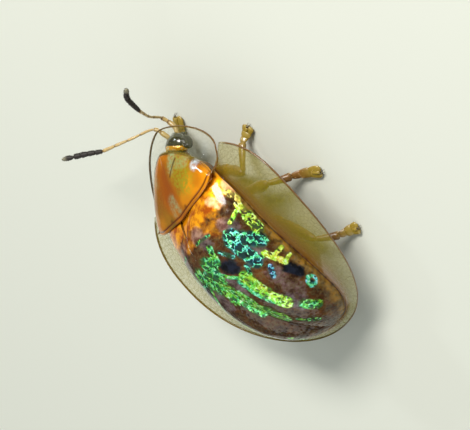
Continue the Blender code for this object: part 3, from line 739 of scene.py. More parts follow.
def makePronotum(materials):
    size = shield
    u, s = np.broadcast_arrays(np.linspace(0, 1, size["ribs"] + 1)[:, None], acrossPlate(size))
    plain = shieldSurface(u, s)
    outward = gridNormals(plain)
    outward[0, :] = outward[1, :]
    fromBase = np.linalg.norm(plain - plain[-1:], axis=-1)
    line = np.exp(-((fromBase - size["hindLine"]) / size["hindLineWidth"]) ** 2)
    line = line * (1 - smoothStep(0.8, 1.2, s))
    wave = unevenness(plain, 0.45, 5.3) + 0.5 * unevenness(plain, 0.2, 2.2)
    calm = smoothStep(0.0, 0.10, s) * (1 - smoothStep(0.9, 1.0, s)) * smoothStep(0.1, 0.2, u)
    step = smoothStep(0.92, 1.0, s) * (1 - smoothStep(1.0, 1.10, s)) * smoothStep(0.05, 0.2, u)
    lift = size["waviness"] * wave * calm - size["hindLineDepth"] * line - size["discEdgeDepth"] * step
    beadPoints, inward = marginBead(plain, outward, s, size)
    top = plain + outward * lift[..., None] - inward
    under = plain - np.array((0, 0, 1)) * plateThickness(s, size, 1.2)[..., None] - inward
    top[:, 0, 0] = under[:, 0, 0] = 0
    beadPoints[0, :, 0] = top[0, :, 0] = under[0, :, 0] = 0

    # each number is worked out for the right half and for the left
    keys = ("gilt", "frost", "ember", "amber", "rose", "olive", "paintedHighlight", "darkStreak")
    paint = {key: np.zeros((2, *plain.shape[:2])) for key in keys}
    ragged = 0.5 * wave + 0.3 * unevenness(plain, 0.09, 4.4)
    for key, places, width, onRight, onLeft in shieldPatches:
        away = distanceToLine(plain * (1, 1, 0), (*places[0], 0), (*places[1], 0))
        mask = 1 - smoothStep(0.3, 1.6, away / width + 0.4 * ragged)
        for half, way in enumerate((-1, 1)):
            leftShare = smoothStep(-0.25, 0.25, way * plain[..., 0])
            strength = onRight + (onLeft - onRight) * leftShare
            paint[key][half] = np.maximum(paint[key][half], strength * mask)
    toMargin = np.linalg.norm(plain - plain[:, -1:], axis=-1)
    paint["edge"] = np.maximum(1 - smoothStep(0.018, 0.042, toMargin),
                               (1 - smoothStep(0.012, 0.03, fromBase)) * 0.8)
    paint["seam"] = np.maximum(line, 0.8 * (1 - smoothStep(0.010, 0.03, fromBase)))
    paint["brim"] = smoothStep(0.98, 1.16, s + 0.04 * ragged)
    paint["wall"] = smoothStep(0.75, 1.0, s + 0.05 * ragged)

    def mirrored(points, way):        # the right side first, back to the midline, then the left side
        return np.concatenate([points[:, ::-1] * (-1, 1, 1), points[:, 1:]], axis=1)[:, ::way]

    across = 2 * plain.shape[1] - 1
    ring = np.concatenate([mirrored(top, 1), beadPoints, mirrored(under, -1),
                           (beadPoints * (-1, 1, 1))[:, ::-1]], axis=1)
    rows, columns = ring.shape[:2]
    beadCount = beadPoints.shape[1]
    attributes = {}
    for key, values in paint.items():
        right, left = np.broadcast_to(values, (2, *plain.shape[:2]))
        onBeads = [np.repeat(half[:, -1:], beadCount, axis=1) for half in (left, right)]
        acrossBoth = np.concatenate([right[:, ::-1], left[:, 1:]], axis=1)
        attributes[key] = np.concatenate([acrossBoth, onBeads[0], acrossBoth[:, ::-1], onBeads[1]], 1).ravel()
    faces = gridFaces(rows, columns)
    last = (rows - 1) * columns
    underStart = across + beadCount
    underEnd = underStart + across - 1
    for k in range(across - 1):
        faces.append((last + k, last + k + 1, last + underEnd - 1 - k, last + underEnd - k))
    faces.append(tuple(last + k for k in range(across - 1, underStart + 1)))
    faces.append((last, *(last + k for k in range(columns - 1, underEnd - 1, -1))))
    brimCells = size["brimCells"] - 1
    slots = []
    for face in faces:
        places = [index % columns for index in face]
        inTop = all(brimCells <= p < across - brimCells for p in places)
        inUnder = all(underStart + brimCells <= p <= underEnd - brimCells for p in places)
        mixed = any(p < across for p in places) and any(p >= underStart for p in places) and len(face) == 4
        capDisc = mixed and brimCells <= min(places) < across - brimCells
        slots.append(0 if inTop or inUnder or capDisc else 1)
    makePiece("pronotum_shield", ring.reshape(-1, 3), faces, materials, faceSlots=slots,
              attributes=attributes, slot="pronotum", replaces=("pronotum",))


# The scutellum, the small triangle between the wing cases.
plate = {"gap": 0.010, "front": -1.42, "rear": -0.83, "thickness": 0.07, "sink": 0.012, "rows": 36}


def makeScutellum(material):
    rings = []
    for v in np.linspace(0, 1, plate["rows"] + 1):
        y = plate["front"] + (plate["rear"] - plate["front"]) * v
        halfWidth = max(float(innerEdge(y)) - plate["gap"], 0.004)
        top = float(crestLine(max(y, shellShape["crestFrontY"]))) - plate["sink"]
        top -= 0.3 * max(shellShape["crestFrontY"] - y, 0)
        turns = np.linspace(0, 2 * pi, 32, endpoint=False)
        across = np.sign(np.cos(turns)) * np.abs(np.cos(turns)) ** 0.5 * halfWidth
        half = plate["thickness"] / 2 * min(1, 0.3 + v / 0.1, 0.3 + (1 - v) / 0.1)
        up = np.sign(np.sin(turns)) * np.abs(np.sin(turns)) ** 0.7 * half - 0.3 * across ** 2
        rings.append(np.stack([across, y + 0 * across, top - plate["thickness"] / 2 + up], -1))
    points, faces = loft(rings)
    rim = np.clip(np.abs(points[:, 0]) / np.maximum(innerEdge(points[:, 1]), 0.02), 0, 1)
    makePiece("scutellum_plate", points, faces, [material], slot="scutellum", replaces=("scutellum",),
              attributes={"wall": rim ** 4, "amber": np.full(len(points), 0.8)})


# The body under the shell: y, half width, top and bottom at each station, in mm.
trunkStations = (
    (-2.74, 0.16, -0.50, -0.74), (-2.50, 0.22, -0.42, -0.70), (-2.36, 0.30, -0.34, -0.62),
    (-2.20, 0.45, -0.22, -0.58), (-1.95, 0.68, -0.10, -0.66), (-1.60, 0.70, -0.04, -0.68),
    (-1.38, 0.66, -0.02, -0.68), (-1.20, 0.80, 0.02, -0.68), (-0.90, 1.02, 0.08, -0.70),
    (-0.40, 1.10, 0.14, -0.70), (0.15, 1.08, 0.20, -0.68), (0.50, 1.06, 0.30, -0.62),
    (0.90, 1.16, 0.44, -0.62), (1.50, 1.10, 0.30, -0.64), (2.10, 0.84, 0.00, -0.66),
    (2.50, 0.50, -0.28, -0.66), (2.74, 0.10, -0.52, -0.60),
)
trunk = {
    "rows": 200, "sides": 96, "widestHeight": -0.45, "roughness": 0.006,
    "segmentLines": (0.62, 1.08, 1.45, 1.80, 2.15), "lineWidth": 0.022, "lineDepth": 0.03,
}


def makeTrunk(material):
    stations, *profiles = np.array(trunkStations).T
    y = np.linspace(stations[0], stations[-1], trunk["rows"])
    kernel = np.hanning(15) / np.hanning(15).sum()
    halfWidth, top, bottom = (
        np.convolve(np.pad(np.interp(y, stations, profile), 7, mode="edge"), kernel, "valid")
        for profile in profiles)
    turns = np.linspace(0, 2 * pi, trunk["sides"], endpoint=False)
    across = np.cos(turns)[None] * halfWidth[:, None]
    upper = np.sin(turns) > 0
    middleZ = trunk["widestHeight"]
    reach = np.where(upper[None], top[:, None] - middleZ, middleZ - bottom[:, None])
    z = middleZ + np.sign(np.sin(turns)) * np.abs(np.sin(turns)) ** np.where(upper, 1.2, 0.7) * reach
    grid = np.stack([across, y[:, None] + 0 * across, z], -1)
    lines = sum(np.exp(-((y - place - 0.05 * np.cos(turns)[:, None] ** 2) / trunk["lineWidth"]) ** 2)
                for place in trunk["segmentLines"]).T
    middle = np.exp(-(across / 0.02) ** 2) * (y[:, None] < 0.55) * (y[:, None] > -1.2) * ~upper[None]
    plates = np.exp(-((y[:, None] + 0.35 + 0.3 * np.abs(across)) / 0.03) ** 2) * ~upper[None]
    groove = np.clip(lines + middle + plates, 0, 1)
    outward = -gridNormals(grid)
    rough = unevenness(grid, 0.12, 9.1)
    grid = grid - outward * (trunk["lineDepth"] * groove - trunk["roughness"] * rough)[..., None]
    points, faces = loft(grid)
    seam = np.concatenate([groove.ravel(), [0, 0]])
    makePiece("trunk", points, faces, [material], attributes={"seam": seam}, slot="body",
              replaces=("prothorax", "thorax", "abdomen"))


# Head and eyes: places and half sizes in mm, tilt in radians.
headShape = {
    "centre": (0.0, -2.87, -0.64), "size": (0.43, 0.33, 0.27), "tilt": 0.5, "narrowing": 0.3,
    "rows": 90, "sides": 110, "browRise": 0.05, "middleGroove": 0.035,
    "bandPlace": 0.070, "bandHalfWidth": 0.060, "bandRise": 0.008, "gutterDepth": 0.018,
    "mouthOffset": (0, -0.12, -0.22),
    # upper lip and clypeus, then jaws and palps of each side: place from the mouth and half size
    "lips": (((0, -0.05, 0.05), (0.17, 0.07, 0.09)), ((0, -0.07, -0.05), (0.12, 0.05, 0.06))),
    "mouthparts": (((0.09, -0.03, -0.09), (0.06, 0.06, 0.09)), ((0.17, 0.02, -0.07), (0.035, 0.035, 0.07)),
                   ((0.19, 0.00, -0.14), (0.030, 0.030, 0.06))),
}
eyeShape = {"offset": 0.46, "back": -0.13, "up": 0.03, "size": (0.11, 0.19, 0.16), "facetLevels": 4,
            "facetRise": 0.02}


def makeHead(material):
    polar = np.linspace(0.02, pi - 0.02, headShape["rows"])[:, None]
    turns = np.linspace(0, 2 * pi, headShape["sides"], endpoint=False)[None]
    centre = np.array(headShape["centre"])
    ball = np.stack([np.sin(polar) * np.cos(turns), -np.cos(polar) + 0 * turns,
                     np.sin(polar) * np.sin(turns)], -1)
    x, y, z = np.moveaxis(ball, -1, 0)
    x = x * (1 - headShape["narrowing"] * np.clip(-z, 0, None))
    brow = headShape["browRise"] * np.exp(-((z - 0.25) / 0.10) ** 2) * np.clip(-y, 0, 1)
    cleft = headShape["middleGroove"] * np.exp(-(x / 0.05) ** 2)
    grow = 1 + brow - cleft * smoothStep(-0.1, 0.4, z) * smoothStep(0.0, 0.4, -y)
    local = np.stack([x * grow, y * grow, z * grow], -1) * headShape["size"]
    grid = local @ np.array(Matrix.Rotation(headShape["tilt"], 3, "X")).T + centre

    # the gold band crosses the crown at a slant, with a gutter on both sides; the band is a low ridge, and
    # its bright gold is partly a painted reflection
    across, back, up = grid[..., 0], grid[..., 1] - centre[1], grid[..., 2] - centre[2]
    band = -0.464 * np.abs(across - 0.12) + 0.056 + 0.735 * back
    band = band + 0.5 * up - headShape["bandPlace"]
    gold = 1 - smoothStep(0.8, 1.25, np.abs(band) / headShape["bandHalfWidth"]
                          + 0.25 * unevenness(grid, 0.08, 2.0))
    crown = smoothStep(-0.15, 0.05, up)
    gutter = np.exp(-((band - 0.075) / 0.025) ** 2) + np.exp(-((band + 0.065) / 0.02) ** 2)
    lift = headShape["bandRise"] * gold * crown - headShape["gutterDepth"] * gutter * crown
    grid = grid - gridNormals(grid) * lift[..., None]
    # painted glints: near-white specks on the gold band
    paintedGlint = gold * crown * smoothStep(0.05, 0.35, unevenness(grid, 0.06, 6.0))
    # rear is painted shade: the dark between the gold band and the pronotum
    paint = {"gold": gold * crown, "rear": smoothStep(0.04, 0.12, band), "paintedGlint": paintedGlint}

    parts = [loft(grid)]
    small = list(headShape["lips"])
    for side in (-1, 1):
        small += [((side * offset[0], *offset[1:]), reach) for offset, reach in headShape["mouthparts"]]
    for offset, reach in small:
        parts.append(loft(ball[::5, ::6] * reach + (centre + headShape["mouthOffset"]) + offset))
    points, faces = joinParts(parts)
    attributes = {key: np.pad(values.ravel(), (0, len(points) - values.size))
                  for key, values in paint.items()}
    makePiece("head_capsule", points, faces, [material], attributes=attributes, slot="head",
              replaces=("head",))


def groupInputs(tree, sockets):   # named inputs of a node group, and its nodes for input and output
    tree.interface.new_socket("Geometry", in_out="OUTPUT", socket_type="NodeSocketGeometry")
    for name, kind, value in sockets:
        socket = tree.interface.new_socket(name, in_out="INPUT", socket_type="NodeSocket" + kind)
        if value is not None:
            socket.default_value = value
    return tree.nodes.new("NodeGroupInput").outputs, tree.nodes.new("NodeGroupOutput").inputs


def runTree(tree, name, hostMesh, settings, replaces=()):
    host = placeInScene(name + "Host", hostMesh)
    modifier = host.modifiers.new("grow", "NODES")
    modifier.node_group = tree
    for item in tree.interface.items_tree:
        if item.in_out == "INPUT" and item.name in settings:
            modifier[item.identifier] = settings[item.name]
    bpy.context.view_layer.update()
    evaluated = host.evaluated_get(bpy.context.evaluated_depsgraph_get())
    mesh = bpy.data.meshes.new_from_object(evaluated)
    bpy.data.objects.remove(host)
    mesh.name = name
    return claimPiece(name, mesh, replaces)


def finishTree(tree, last, given, result):      # plain mesh with its material
    real = addNode(tree, "GeometryNodeRealizeInstances", [last])
    painted = addNode(tree, "GeometryNodeSetMaterial", {"Geometry": real, "Material": given["Material"]})
    tree.links.new(painted.outputs["Geometry"], result["Geometry"])


def makeFacetTree():              # a ball of small domed cells
    tree = bpy.data.node_groups.new("facetedEye", "GeometryNodeTree")
    given, result = groupInputs(tree, [
        ("Geometry", "Geometry", None), ("Levels", "Int", 4), ("Rise", "Float", 0.05),
        ("Size", "Vector", (1, 1, 1)), ("Tilt", "Float", 0.0), ("Centre", "Vector", (0, 0, 0)),
        ("Material", "Material", None)])
    add = partial(addNode, tree)
    ball = add("GeometryNodeMeshIcoSphere", {"Subdivisions": given["Levels"], "Radius": 1.0})
    cells = add("GeometryNodeDualMesh", [ball])
    raised = add("GeometryNodeExtrudeMesh", {"Mesh": cells, "Offset Scale": given["Rise"],
                                             "Individual": True})
    narrowed = add("GeometryNodeScaleElements", {"Geometry": raised, "Selection": raised.outputs["Top"],
                                                 "Scale": 0.55})
    turned = add("CombineXYZ", {"X": given["Tilt"]})
    placed = add("GeometryNodeTransform", {"Geometry": narrowed, "Scale": given["Size"],
                                           "Rotation": turned, "Translation": given["Centre"]})
    finishTree(tree, placed, given, result)
    return tree


def makeBristleTree():            # leaning hairs on the faces marked hairy, most where the mark is 1
    tree = bpy.data.node_groups.new("bristles", "GeometryNodeTree")
    given, result = groupInputs(tree, [
        ("Geometry", "Geometry", None), ("Density", "Float", 1e7), ("Length", "Float", 1e-4),
        ("Thickness", "Float", 5e-6), ("Lean", "Float", 1.0), ("Seed", "Int", 1),
        ("Material", "Material", None)])
    add = partial(addNode, tree)
    hairy = add("GeometryNodeInputNamedAttribute", {"Name": "hairy"}, data_type="FLOAT")
    lie = add("GeometryNodeInputNamedAttribute", {"Name": "lie"}, data_type="FLOAT_VECTOR")
    crowd = add("Math", [given["Density"], hairy], operation="MULTIPLY")
    roots = add("GeometryNodeDistributePointsOnFaces", {"Mesh": given["Geometry"], "Density": crowd,
                                                        "Seed": given["Seed"]})
    leaning = add("VectorMath", [lie, given["Lean"]], operation="SCALE")
    stray = add("FunctionNodeRandomValue", {0: (-0.25, -0.25, -0.25), 1: (0.25, 0.25, 0.25),
                                            "Seed": given["Seed"]}, data_type="FLOAT_VECTOR")
    way = add("VectorMath", [roots.outputs["Normal"], leaning], operation="ADD")
    way = add("VectorMath", [way, stray], operation="ADD")
    turn = add("FunctionNodeAlignRotationToVector", {"Vector": way}, axis="Z")
    hair = add("GeometryNodeMeshCone", {"Vertices": 4, "Side Segments": 2, "Radius Top": 0.0,
                                        "Radius Bottom": given["Thickness"], "Depth": given["Length"]})
    size = add("FunctionNodeRandomValue", {2: 0.55, 3: 1.15, "Seed": given["Seed"]}, data_type="FLOAT")
    grown = add("GeometryNodeInstanceOnPoints", {"Points": roots, "Instance": hair, "Rotation": turn,
                                                 "Scale": size})
    finishTree(tree, grown, given, result)
    return tree


# The legs: lengths and radii in mm, radii at a part's start, middle and end.
legShape = {
    "femur": (0.085, 0.165, 0.085), "tibia": (0.070, 0.095, 0.125), "flatness": 0.80, "sides": 20, "ribs": 22,
    "hip": (0.22, 0.21, 0.13), "hipRise": 0.52, "trochanter": (0.10, 0.13, 0.10), "tarsusLength": 0.92,
    # flat joints of the foot: middle and length as shares of the foot, width and sideways shift in mm
    "pads": ((0.15, 0.36, 0.21, 0.0), (0.40, 0.42, 0.29, 0.0), (0.70, 0.50, 0.23, -0.08),
             (0.70, 0.50, 0.23, 0.08)),
    "padFlatness": 0.40, "padHeight": 0.05, "clawJoint": (0.036, 0.042, 0.055), "clawRibs": 14,
    "clawSides": 10, "clawLength": 0.10, "clawRadius": 0.014, "clawSpread": 0.40, "clawArch": 0.035,
    "hairsPerSquareMm": 55, "hairLength": 0.085, "hairThickness": 0.0045, "hairLean": 1.2,
}
# hip, knee, ankle and toe, as in the solids
legJoints = {
    "front_right": ((-0.42, -1.55, -1.02), (-1.15, -1.12, -0.74),
                    (-1.42, -1.72, -1.16), (-1.80, -1.92, -1.30)),
    "middle_right": ((-0.50, -0.72, -1.02), (-1.56, -0.47, -0.74),
                     (-1.93, -0.20, -1.14), (-2.74, 0.31, -1.30)),
    "hind_right": ((-0.48, 0.30, -1.04), (-1.38, 1.40, -0.80), (-1.80, 1.76, -1.14), (-2.30, 1.97, -1.30)),
    "front_left": ((0.42, -1.55, -1.02), (1.06, -2.06, -0.80), (0.62, -2.74, -1.18), (0.10, -3.55, -1.30)),
    "middle_left": ((0.50, -0.72, -1.02), (1.56, -0.55, -0.74), (2.00, -0.36, -1.14), (2.76, 0.02, -1.30)),
    "hind_left": ((0.48, 0.30, -1.04), (1.40, 1.34, -0.80), (1.86, 1.66, -1.14), (2.44, 1.92, -1.30)),
}


def roundEnds(s, ends=0.10):
    near = np.clip(np.minimum(s, 1 - s) / ends, 0, 1)
    return np.sqrt(1 - (1 - near) ** 2)


def limbPart(start, end, radii, bend=0.0, ends=0.10, flatness=legShape["flatness"]):
    start, end = np.array(start, float), np.array(end, float)
    s = 0.004 + 0.992 * ((1 - np.cos(np.linspace(0.0, pi, legShape["ribs"]))) / 2)
    path = start + (end - start) * s[:, None]
    path[:, 2] += bend * np.sin(pi * s)
    first, middle, last = radii
    size = first * (1 - s) ** 2 + last * s ** 2 + (4 * middle - first - last) * s * (1 - s)
    size = size * roundEnds(s, ends)
    rings = sweptRings(path, size, size * flatness, legShape["sides"], floor=floorZ)
    points, faces = loft(rings)
    return points, faces, (end - start) / np.linalg.norm(end - start)


def makeLeg(name, joints, materials, tree):
    hip, knee, ankle, toe = (np.array(joint) for joint in joints)
    footLength = np.linalg.norm(toe - ankle)
    along = (toe - ankle) / footLength
    flat = np.array((along[0], along[1], 0)) / np.hypot(along[0], along[1])
    wrist = toe - along * legShape["tarsusLength"] if footLength > legShape["tarsusLength"] else ankle
    wrist = wrist + (0, 0, -0.02)
    sideWay = np.cross((0, 0, 1), flat)
    thigh = knee - hip
    parts = []

    def add(points, faces, way, hairy):
        parts.append((points, faces, np.tile(way, (len(points), 1)), np.full(len(points), hairy)))

    # the hip leans outward from inside the trunk
    socket = hip * (0.62, 1, 1) + (0, 0, legShape["hipRise"])
    add(*limbPart(socket, hip * (1.06, 1, 1) + (0, 0, -0.10), legShape["hip"], ends=0.4, flatness=0.95), 0.0)
    add(*limbPart(hip + thigh * -0.10, hip + thigh * 0.20, legShape["trochanter"], ends=0.4), 0.3)
    add(*limbPart(hip + thigh * 0.05, knee + thigh * 0.03, legShape["femur"], bend=0.02), 0.7)
    add(*limbPart(knee, wrist, legShape["tibia"], bend=0.03), 1.0)
    low = legShape["padHeight"]
    for place, reach, width, shift in legShape["pads"]:
        ends = [wrist + (toe - wrist) * (place + half * reach) for half in (-0.5, 0.5)]
        for point, half in zip(ends, (-0.5, 0.5)):
            rise = (wrist[2] - floorZ - low) * (1 - np.clip(place + half * reach, 0, 1)) ** 3
            point[2] = floorZ + low + 0.03 * (half < 0) + rise
        ends[1] += sideWay * shift
        add(*limbPart(ends[0] + sideWay * shift * 0.4, ends[1], (width * 0.38, width * 0.50, width * 0.48),
                      ends=0.3, flatness=legShape["padFlatness"]), 1.0)
    # last joint of the foot, which carries the claws
    end = toe - flat * 0.06
    end[2] = floorZ + 0.10
    start = wrist + (toe - wrist) * 0.60
    start[2] = floorZ + 0.11
    add(*limbPart(start, end, legShape["clawJoint"], bend=0.03, ends=0.2), 0.4)

    points, faces = joinParts([part[:2] for part in parts])
    hairy = np.concatenate([part[3] for part in parts])
    attributes = {"lie": np.vstack([part[2] for part in parts]),
                  "hairy": hairy * smoothStep(0.10, 0.16, points[:, 2] - floorZ),     # none on the soles
                  "foot": 1 - smoothStep(0.25, 0.75, np.linalg.norm(points - toe, axis=1))}
    leg = makePiece(f"leg_{name}", points, faces, materials[:1], attributes=attributes, slot="leg",
                    replaces=tuple(f"leg_{name}_{piece}" for piece in ("femur", "tibia", "tarsus")))

    claws = []
    s = np.linspace(0, 1, legShape["clawRibs"])[:, None]
    for spread in (-1, 1):
        outWay = flat * cos(legShape["clawSpread"]) + sideWay * spread * sin(legShape["clawSpread"])
        path = end + outWay * legShape["clawLength"] * s
        drop = (end[2] - floorZ - 0.012) * s ** 2.2
        path = path + np.array((0, 0, 1)) * (legShape["clawArch"] * np.sin(pi * s) - drop)
        size = legShape["clawRadius"] * (1 - 0.85 * s[:, 0]) + 0.002
        claws.append(loft(sweptRings(path, size, size, legShape["clawSides"], floor=floorZ)))
    makePiece(f"claws_{name}", *joinParts(claws), materials[1:2], slot="leg")
    growHairs(tree, f"hairs_{name}", leg, legShape, 7, materials[2])


def growHairs(tree, name, host, shape, seed, material):
    runTree(tree, name, host.data, {
        "Density": shape["hairsPerSquareMm"] / mm ** 2, "Length": shape["hairLength"] * mm,
        "Thickness": shape["hairThickness"] * mm, "Lean": shape["hairLean"], "Seed": seed,
        "Material": material})


# The feelers: lengths and radii of the joints in mm, neck as a share of the radius.
feelerShape = {
    "jointShares": (0.36, 0.17, 0.33, 0.30, 0.30, 0.29),       # pale inner joints
    "clubShares": (0.21, 0.21, 0.21, 0.21, 0.40),              # black outer joints
    "jointRadii": (0.070, 0.055, 0.038, 0.038, 0.042, 0.048),
    "clubRadii": (0.062, 0.070, 0.074, 0.074, 0.070), "sides": 18, "ribs": 26, "neck": 0.86,
    "hairsPerSquareMm": 1500, "hairLength": 0.035, "hairThickness": 0.0028, "hairLean": 1.4,
}
feelerPoints = {
    "right": ((-0.16, -3.08, -0.78), (-0.19, -3.30, -0.86), (-0.12, -3.68, -0.80), (-0.42, -3.86, -0.30),
              (-1.03, -4.06, 0.30), (-1.39, -4.43, 0.60), (-1.98, -4.56, 0.88)),
    "left": ((0.18, -3.07, -0.78), (0.32, -3.34, -0.84), (0.48, -3.66, -0.80), (0.86, -3.87, -0.36),
             (1.49, -4.16, 0.12), (1.77, -4.40, 0.35), (2.33, -4.76, 0.64)),
}


def makeFeelerPart(name, path, part, material, node, slot):
    shares, radii = feelerShape[part + "Shares"], feelerShape[part + "Radii"]
    shares = np.array(shares) * np.linalg.norm(np.diff(path, axis=0), axis=1).sum() / sum(shares)
    starts = np.concatenate([[0], np.cumsum(shares)[:-1]])
    parts, lies, tips = [], [], []
    for k, (start, share, radius) in enumerate(zip(starts, shares, radii)):
        isLast = k == len(radii) - 1
        s = (1 - np.cos(np.linspace(0.05, pi - 0.05, feelerShape["ribs"]))) / 2
        centre = alongPath(path, start + share * (0.02 + (0.97 if isLast else 1.0) * s))
        swell = feelerShape["neck"] + (1 - feelerShape["neck"]) * smoothStep(0.0, 0.75, s)
        rounding = 0.55 if part == "club" and isLast else 0.10
        size = radius * swell * roundEnds(np.clip(s, 0.03, 0.97), rounding)
        points, faces = loft(sweptRings(centre, size, size, feelerShape["sides"]))
        parts.append((points, faces))
        lies.append(np.tile(centre[-1] - centre[0], (len(points), 1)) / share)
        tips.append(np.concatenate([np.repeat(smoothStep(0.80, 1.0, s), feelerShape["sides"]), [0, 1]]))
    points, faces = joinParts(parts)
    reach = np.linalg.norm(points - path[-1], axis=1)
    attributes = {"lie": np.vstack(lies), "hairy": np.ones(len(points)), "joint": np.concatenate(tips),
                  "tip": 1 - smoothStep(0.05, 0.22, reach)}
    return makePiece(name, points, faces, [material], attributes=attributes, slot=slot, replaces=(node,))


def makeFeeler(side, materials, tree):
    points = feelerPoints[side]
    inner, outer = smoothPath(points[:5], 12), smoothPath(points[4:], 12)
    makeFeelerPart(f"feeler_{side}_joints", inner, "joint", materials[0], f"antenna_{side}", "antenna")
    club = makeFeelerPart(f"feeler_{side}_club", outer, "club", materials[1], f"antenna_{side}_club", "club")
    growHairs(tree, f"feeler_{side}_velvet", club, feelerShape, 3, materials[2])


# perMm is how many blotches there are to the millimetre, bumpHeight in millimetres
def cuticleMaterial(name, low, high, layers, roughness, constants, perMm=5.0, bumpHeight=0.006, dusted=()):
    material, tree, shader, place = startMaterial(name, constants)
    add = partial(addNode, tree)
    blotch = add("TexNoise", {"Vector": place, "Scale": perMm, "Detail": 6.0, "Roughness": 0.62})
    colour = add("Mix", [blotch, low, high], data_type="RGBA")
    dust = add("TexNoise", {"Vector": place, "Scale": perMm * 4, "Detail": 4.0, "Roughness": 0.7})
    metal = None
    for key, tint, metallic in layers:
        mask = add("Attribute", attribute_name=key).outputs["Fac"]
        if key in dusted:
            grains = add("MapRange", [dust, 0.38, 0.60, 0.2, 1.0])
            mask = add("Math", [mask, grains], operation="MULTIPLY")
        colour = add("Mix", [mask, colour, tint], data_type="RGBA")
        if metallic:
            share = add("Math", [mask, metallic], operation="MULTIPLY")
            metal = share if metal is None else add("Math", [metal, share], operation="MAXIMUM")
            giveInputs(tree, shader, {"Metallic": metal})
    fine = add("TexNoise", {"Vector": place, "Scale": perMm * 6, "Detail": 3.0})
    rough = add("MapRange", [fine, 0, 1, roughness * 0.75, roughness * 1.25])
    bump = add("Bump", {"Height": fine, "Strength": 0.4, "Distance": bumpHeight * mm})
    giveInputs(tree, shader, {"Base Color": colour, "Roughness": rough, "Normal": bump})
    return material


# Amber cuticle under a wet clear coat, with soft patches of green-gold and pale green metal dust in it, and a
# pale blue-white painted highlight dusted like the metal.
shieldDisc = cuticleMaterial("lacqueredPronotum", "#7c4006", "#c0740a", [
    ("wall", "#5c400a", 0), ("olive", "#6c5410", 0), ("amber", "#e8900a", 0.2), ("ember", "#8a4404", 0),
    ("rose", "#9a5a34", 0), ("gilt", "#a2981c", 0.4), ("frost", "#98a878", 0.3), ("paintedHighlight", "#cfe0ec", 0.5),
    ("darkStreak", "#4a2408", 0), ("seam", "#5a2406", 0)], 0.34,
    {"Coat Weight": 1.0, "Coat Roughness": 0.05, "Coat IOR": 1.4, "Specular IOR Level": 0.0},
    perMm=3.0, bumpHeight=0.008, dusted=("gilt", "frost", "paintedHighlight"))
shieldBrim = clearCuticleMaterial("clearPronotumMargin", "#949a30", "#6a4614", 0.016, 0.80, 0.03)
makePronotum([shieldDisc, shieldBrim])
makeScutellum(shieldDisc)
print("pronotum and scutellum done")

# Dark chestnut cuticle, as on most leaf beetles' undersides: satin, with darker joints.
trunkMaterial = cuticleMaterial("chestnutCuticle", "#2c150a", "#5d3014", [("seam", "#120904", 0)], 0.38,
                                {"Coat Weight": 0.3})
makeTrunk(trunkMaterial)
# Polished black-grey head with a gold band behind the brow; the band's gold is partly a painted reflection,
# with painted glints on it and painted shade behind it.
headMaterial = cuticleMaterial("polishedHead", "#060606", "#26251f", [
    ("rear", "#100803", 0), ("gold", "#f0a818", 0.5), ("paintedGlint", "#fff2b0", 0)], 0.20,
    {"Coat Weight": 1.0, "Coat Roughness": 0.05}, perMm=7.0)
makeHead(headMaterial)
# Black eye lenses: the small cells catch many tiny highlights.
eyeMaterial = cuticleMaterial("eyeLens", "#070607", "#191416", [], 0.16, {"Coat Weight": 0.8}, perMm=12.0)
facetTree = makeFacetTree()
for side, name in ((-1, "right"), (1, "left")):
    centre = (side * eyeShape["offset"], headShape["centre"][1] - eyeShape["back"],
              headShape["centre"][2] + eyeShape["up"])
    runTree(facetTree, f"eye_{name}_facets", bpy.data.meshes.new("empty"), {
        "Levels": eyeShape["facetLevels"], "Rise": eyeShape["facetRise"],
        "Size": [length * mm for length in eyeShape["size"]], "Tilt": headShape["tilt"],
        "Centre": list(toMetres(centre)), "Material": eyeMaterial}, (f"eye_{name}",))
print("trunk, head and eyes done")

bristleTree = makeBristleTree()
# Amber leg cuticle, thin enough for light to soak in, paler and more olive on the feet.
legMaterial = cuticleMaterial("amberLeg", "#5c3a12", "#94682a", [("foot", "#98802e", 0)], 0.32, {
    "Coat Weight": 0.5, "Subsurface Weight": 0.12, "Subsurface Radius": (1.0, 0.6, 0.3),
    "Subsurface Scale": 0.1 * mm}, perMm=4.0)
# Dark hard horn of the claws, smooth, so that each hook shows one thin highlight.
clawMaterial = cuticleMaterial("darkClaw", "#1c0c05", "#3c1c0a", [], 0.22, {"Coat Weight": 0.6})
# Straw-coloured hairs, dull enough to show as a pale fringe.
hairMaterial = cuticleMaterial("paleHair", "#c9a061", "#f0d9a0", [], 0.45, {}, perMm=20.0)
for name, joints in legJoints.items():
    makeLeg(name, joints, [legMaterial, clawMaterial, hairMaterial], bristleTree)
# Straw-coloured feeler joints that let a little light in, with brown rings where they meet.
jointMaterial = cuticleMaterial("paleFeelerJoint", "#9a7d48", "#cbb070", [("joint", "#6a4a20", 0)], 0.36, {
    "Coat Weight": 0.3, "Subsurface Weight": 0.2, "Subsurface Radius": (1.0, 0.7, 0.4),
    "Subsurface Scale": 0.06 * mm})
# Black outer joints and their short hairs: dull as velvet, a little paler at the very tip.
clubMaterial = cuticleMaterial("velvetClub", "#120d0a", "#2a201a", [("tip", "#8f8a72", 0)], 0.6, {})
velvetMaterial = cuticleMaterial("clubHair", "#2a2420", "#5a5248", [], 0.5, {}, perMm=20.0)
for side in ("right", "left"):
    makeFeeler(side, [jointMaterial, clubMaterial, velvetMaterial], bristleTree)
print("legs and feelers done")

# The camera: angles in degrees, distance in mm, and the frame in pixels with the beetle's place in it.
view = {
    "elevation": 38.029, "azimuth": -95.887, "roll": 230.91, "distance": 120.0,
    "pixelsPerMm": 38.83, "centreX": 236.937, "centreY": 239.605, "width": 470, "height": 430,
}


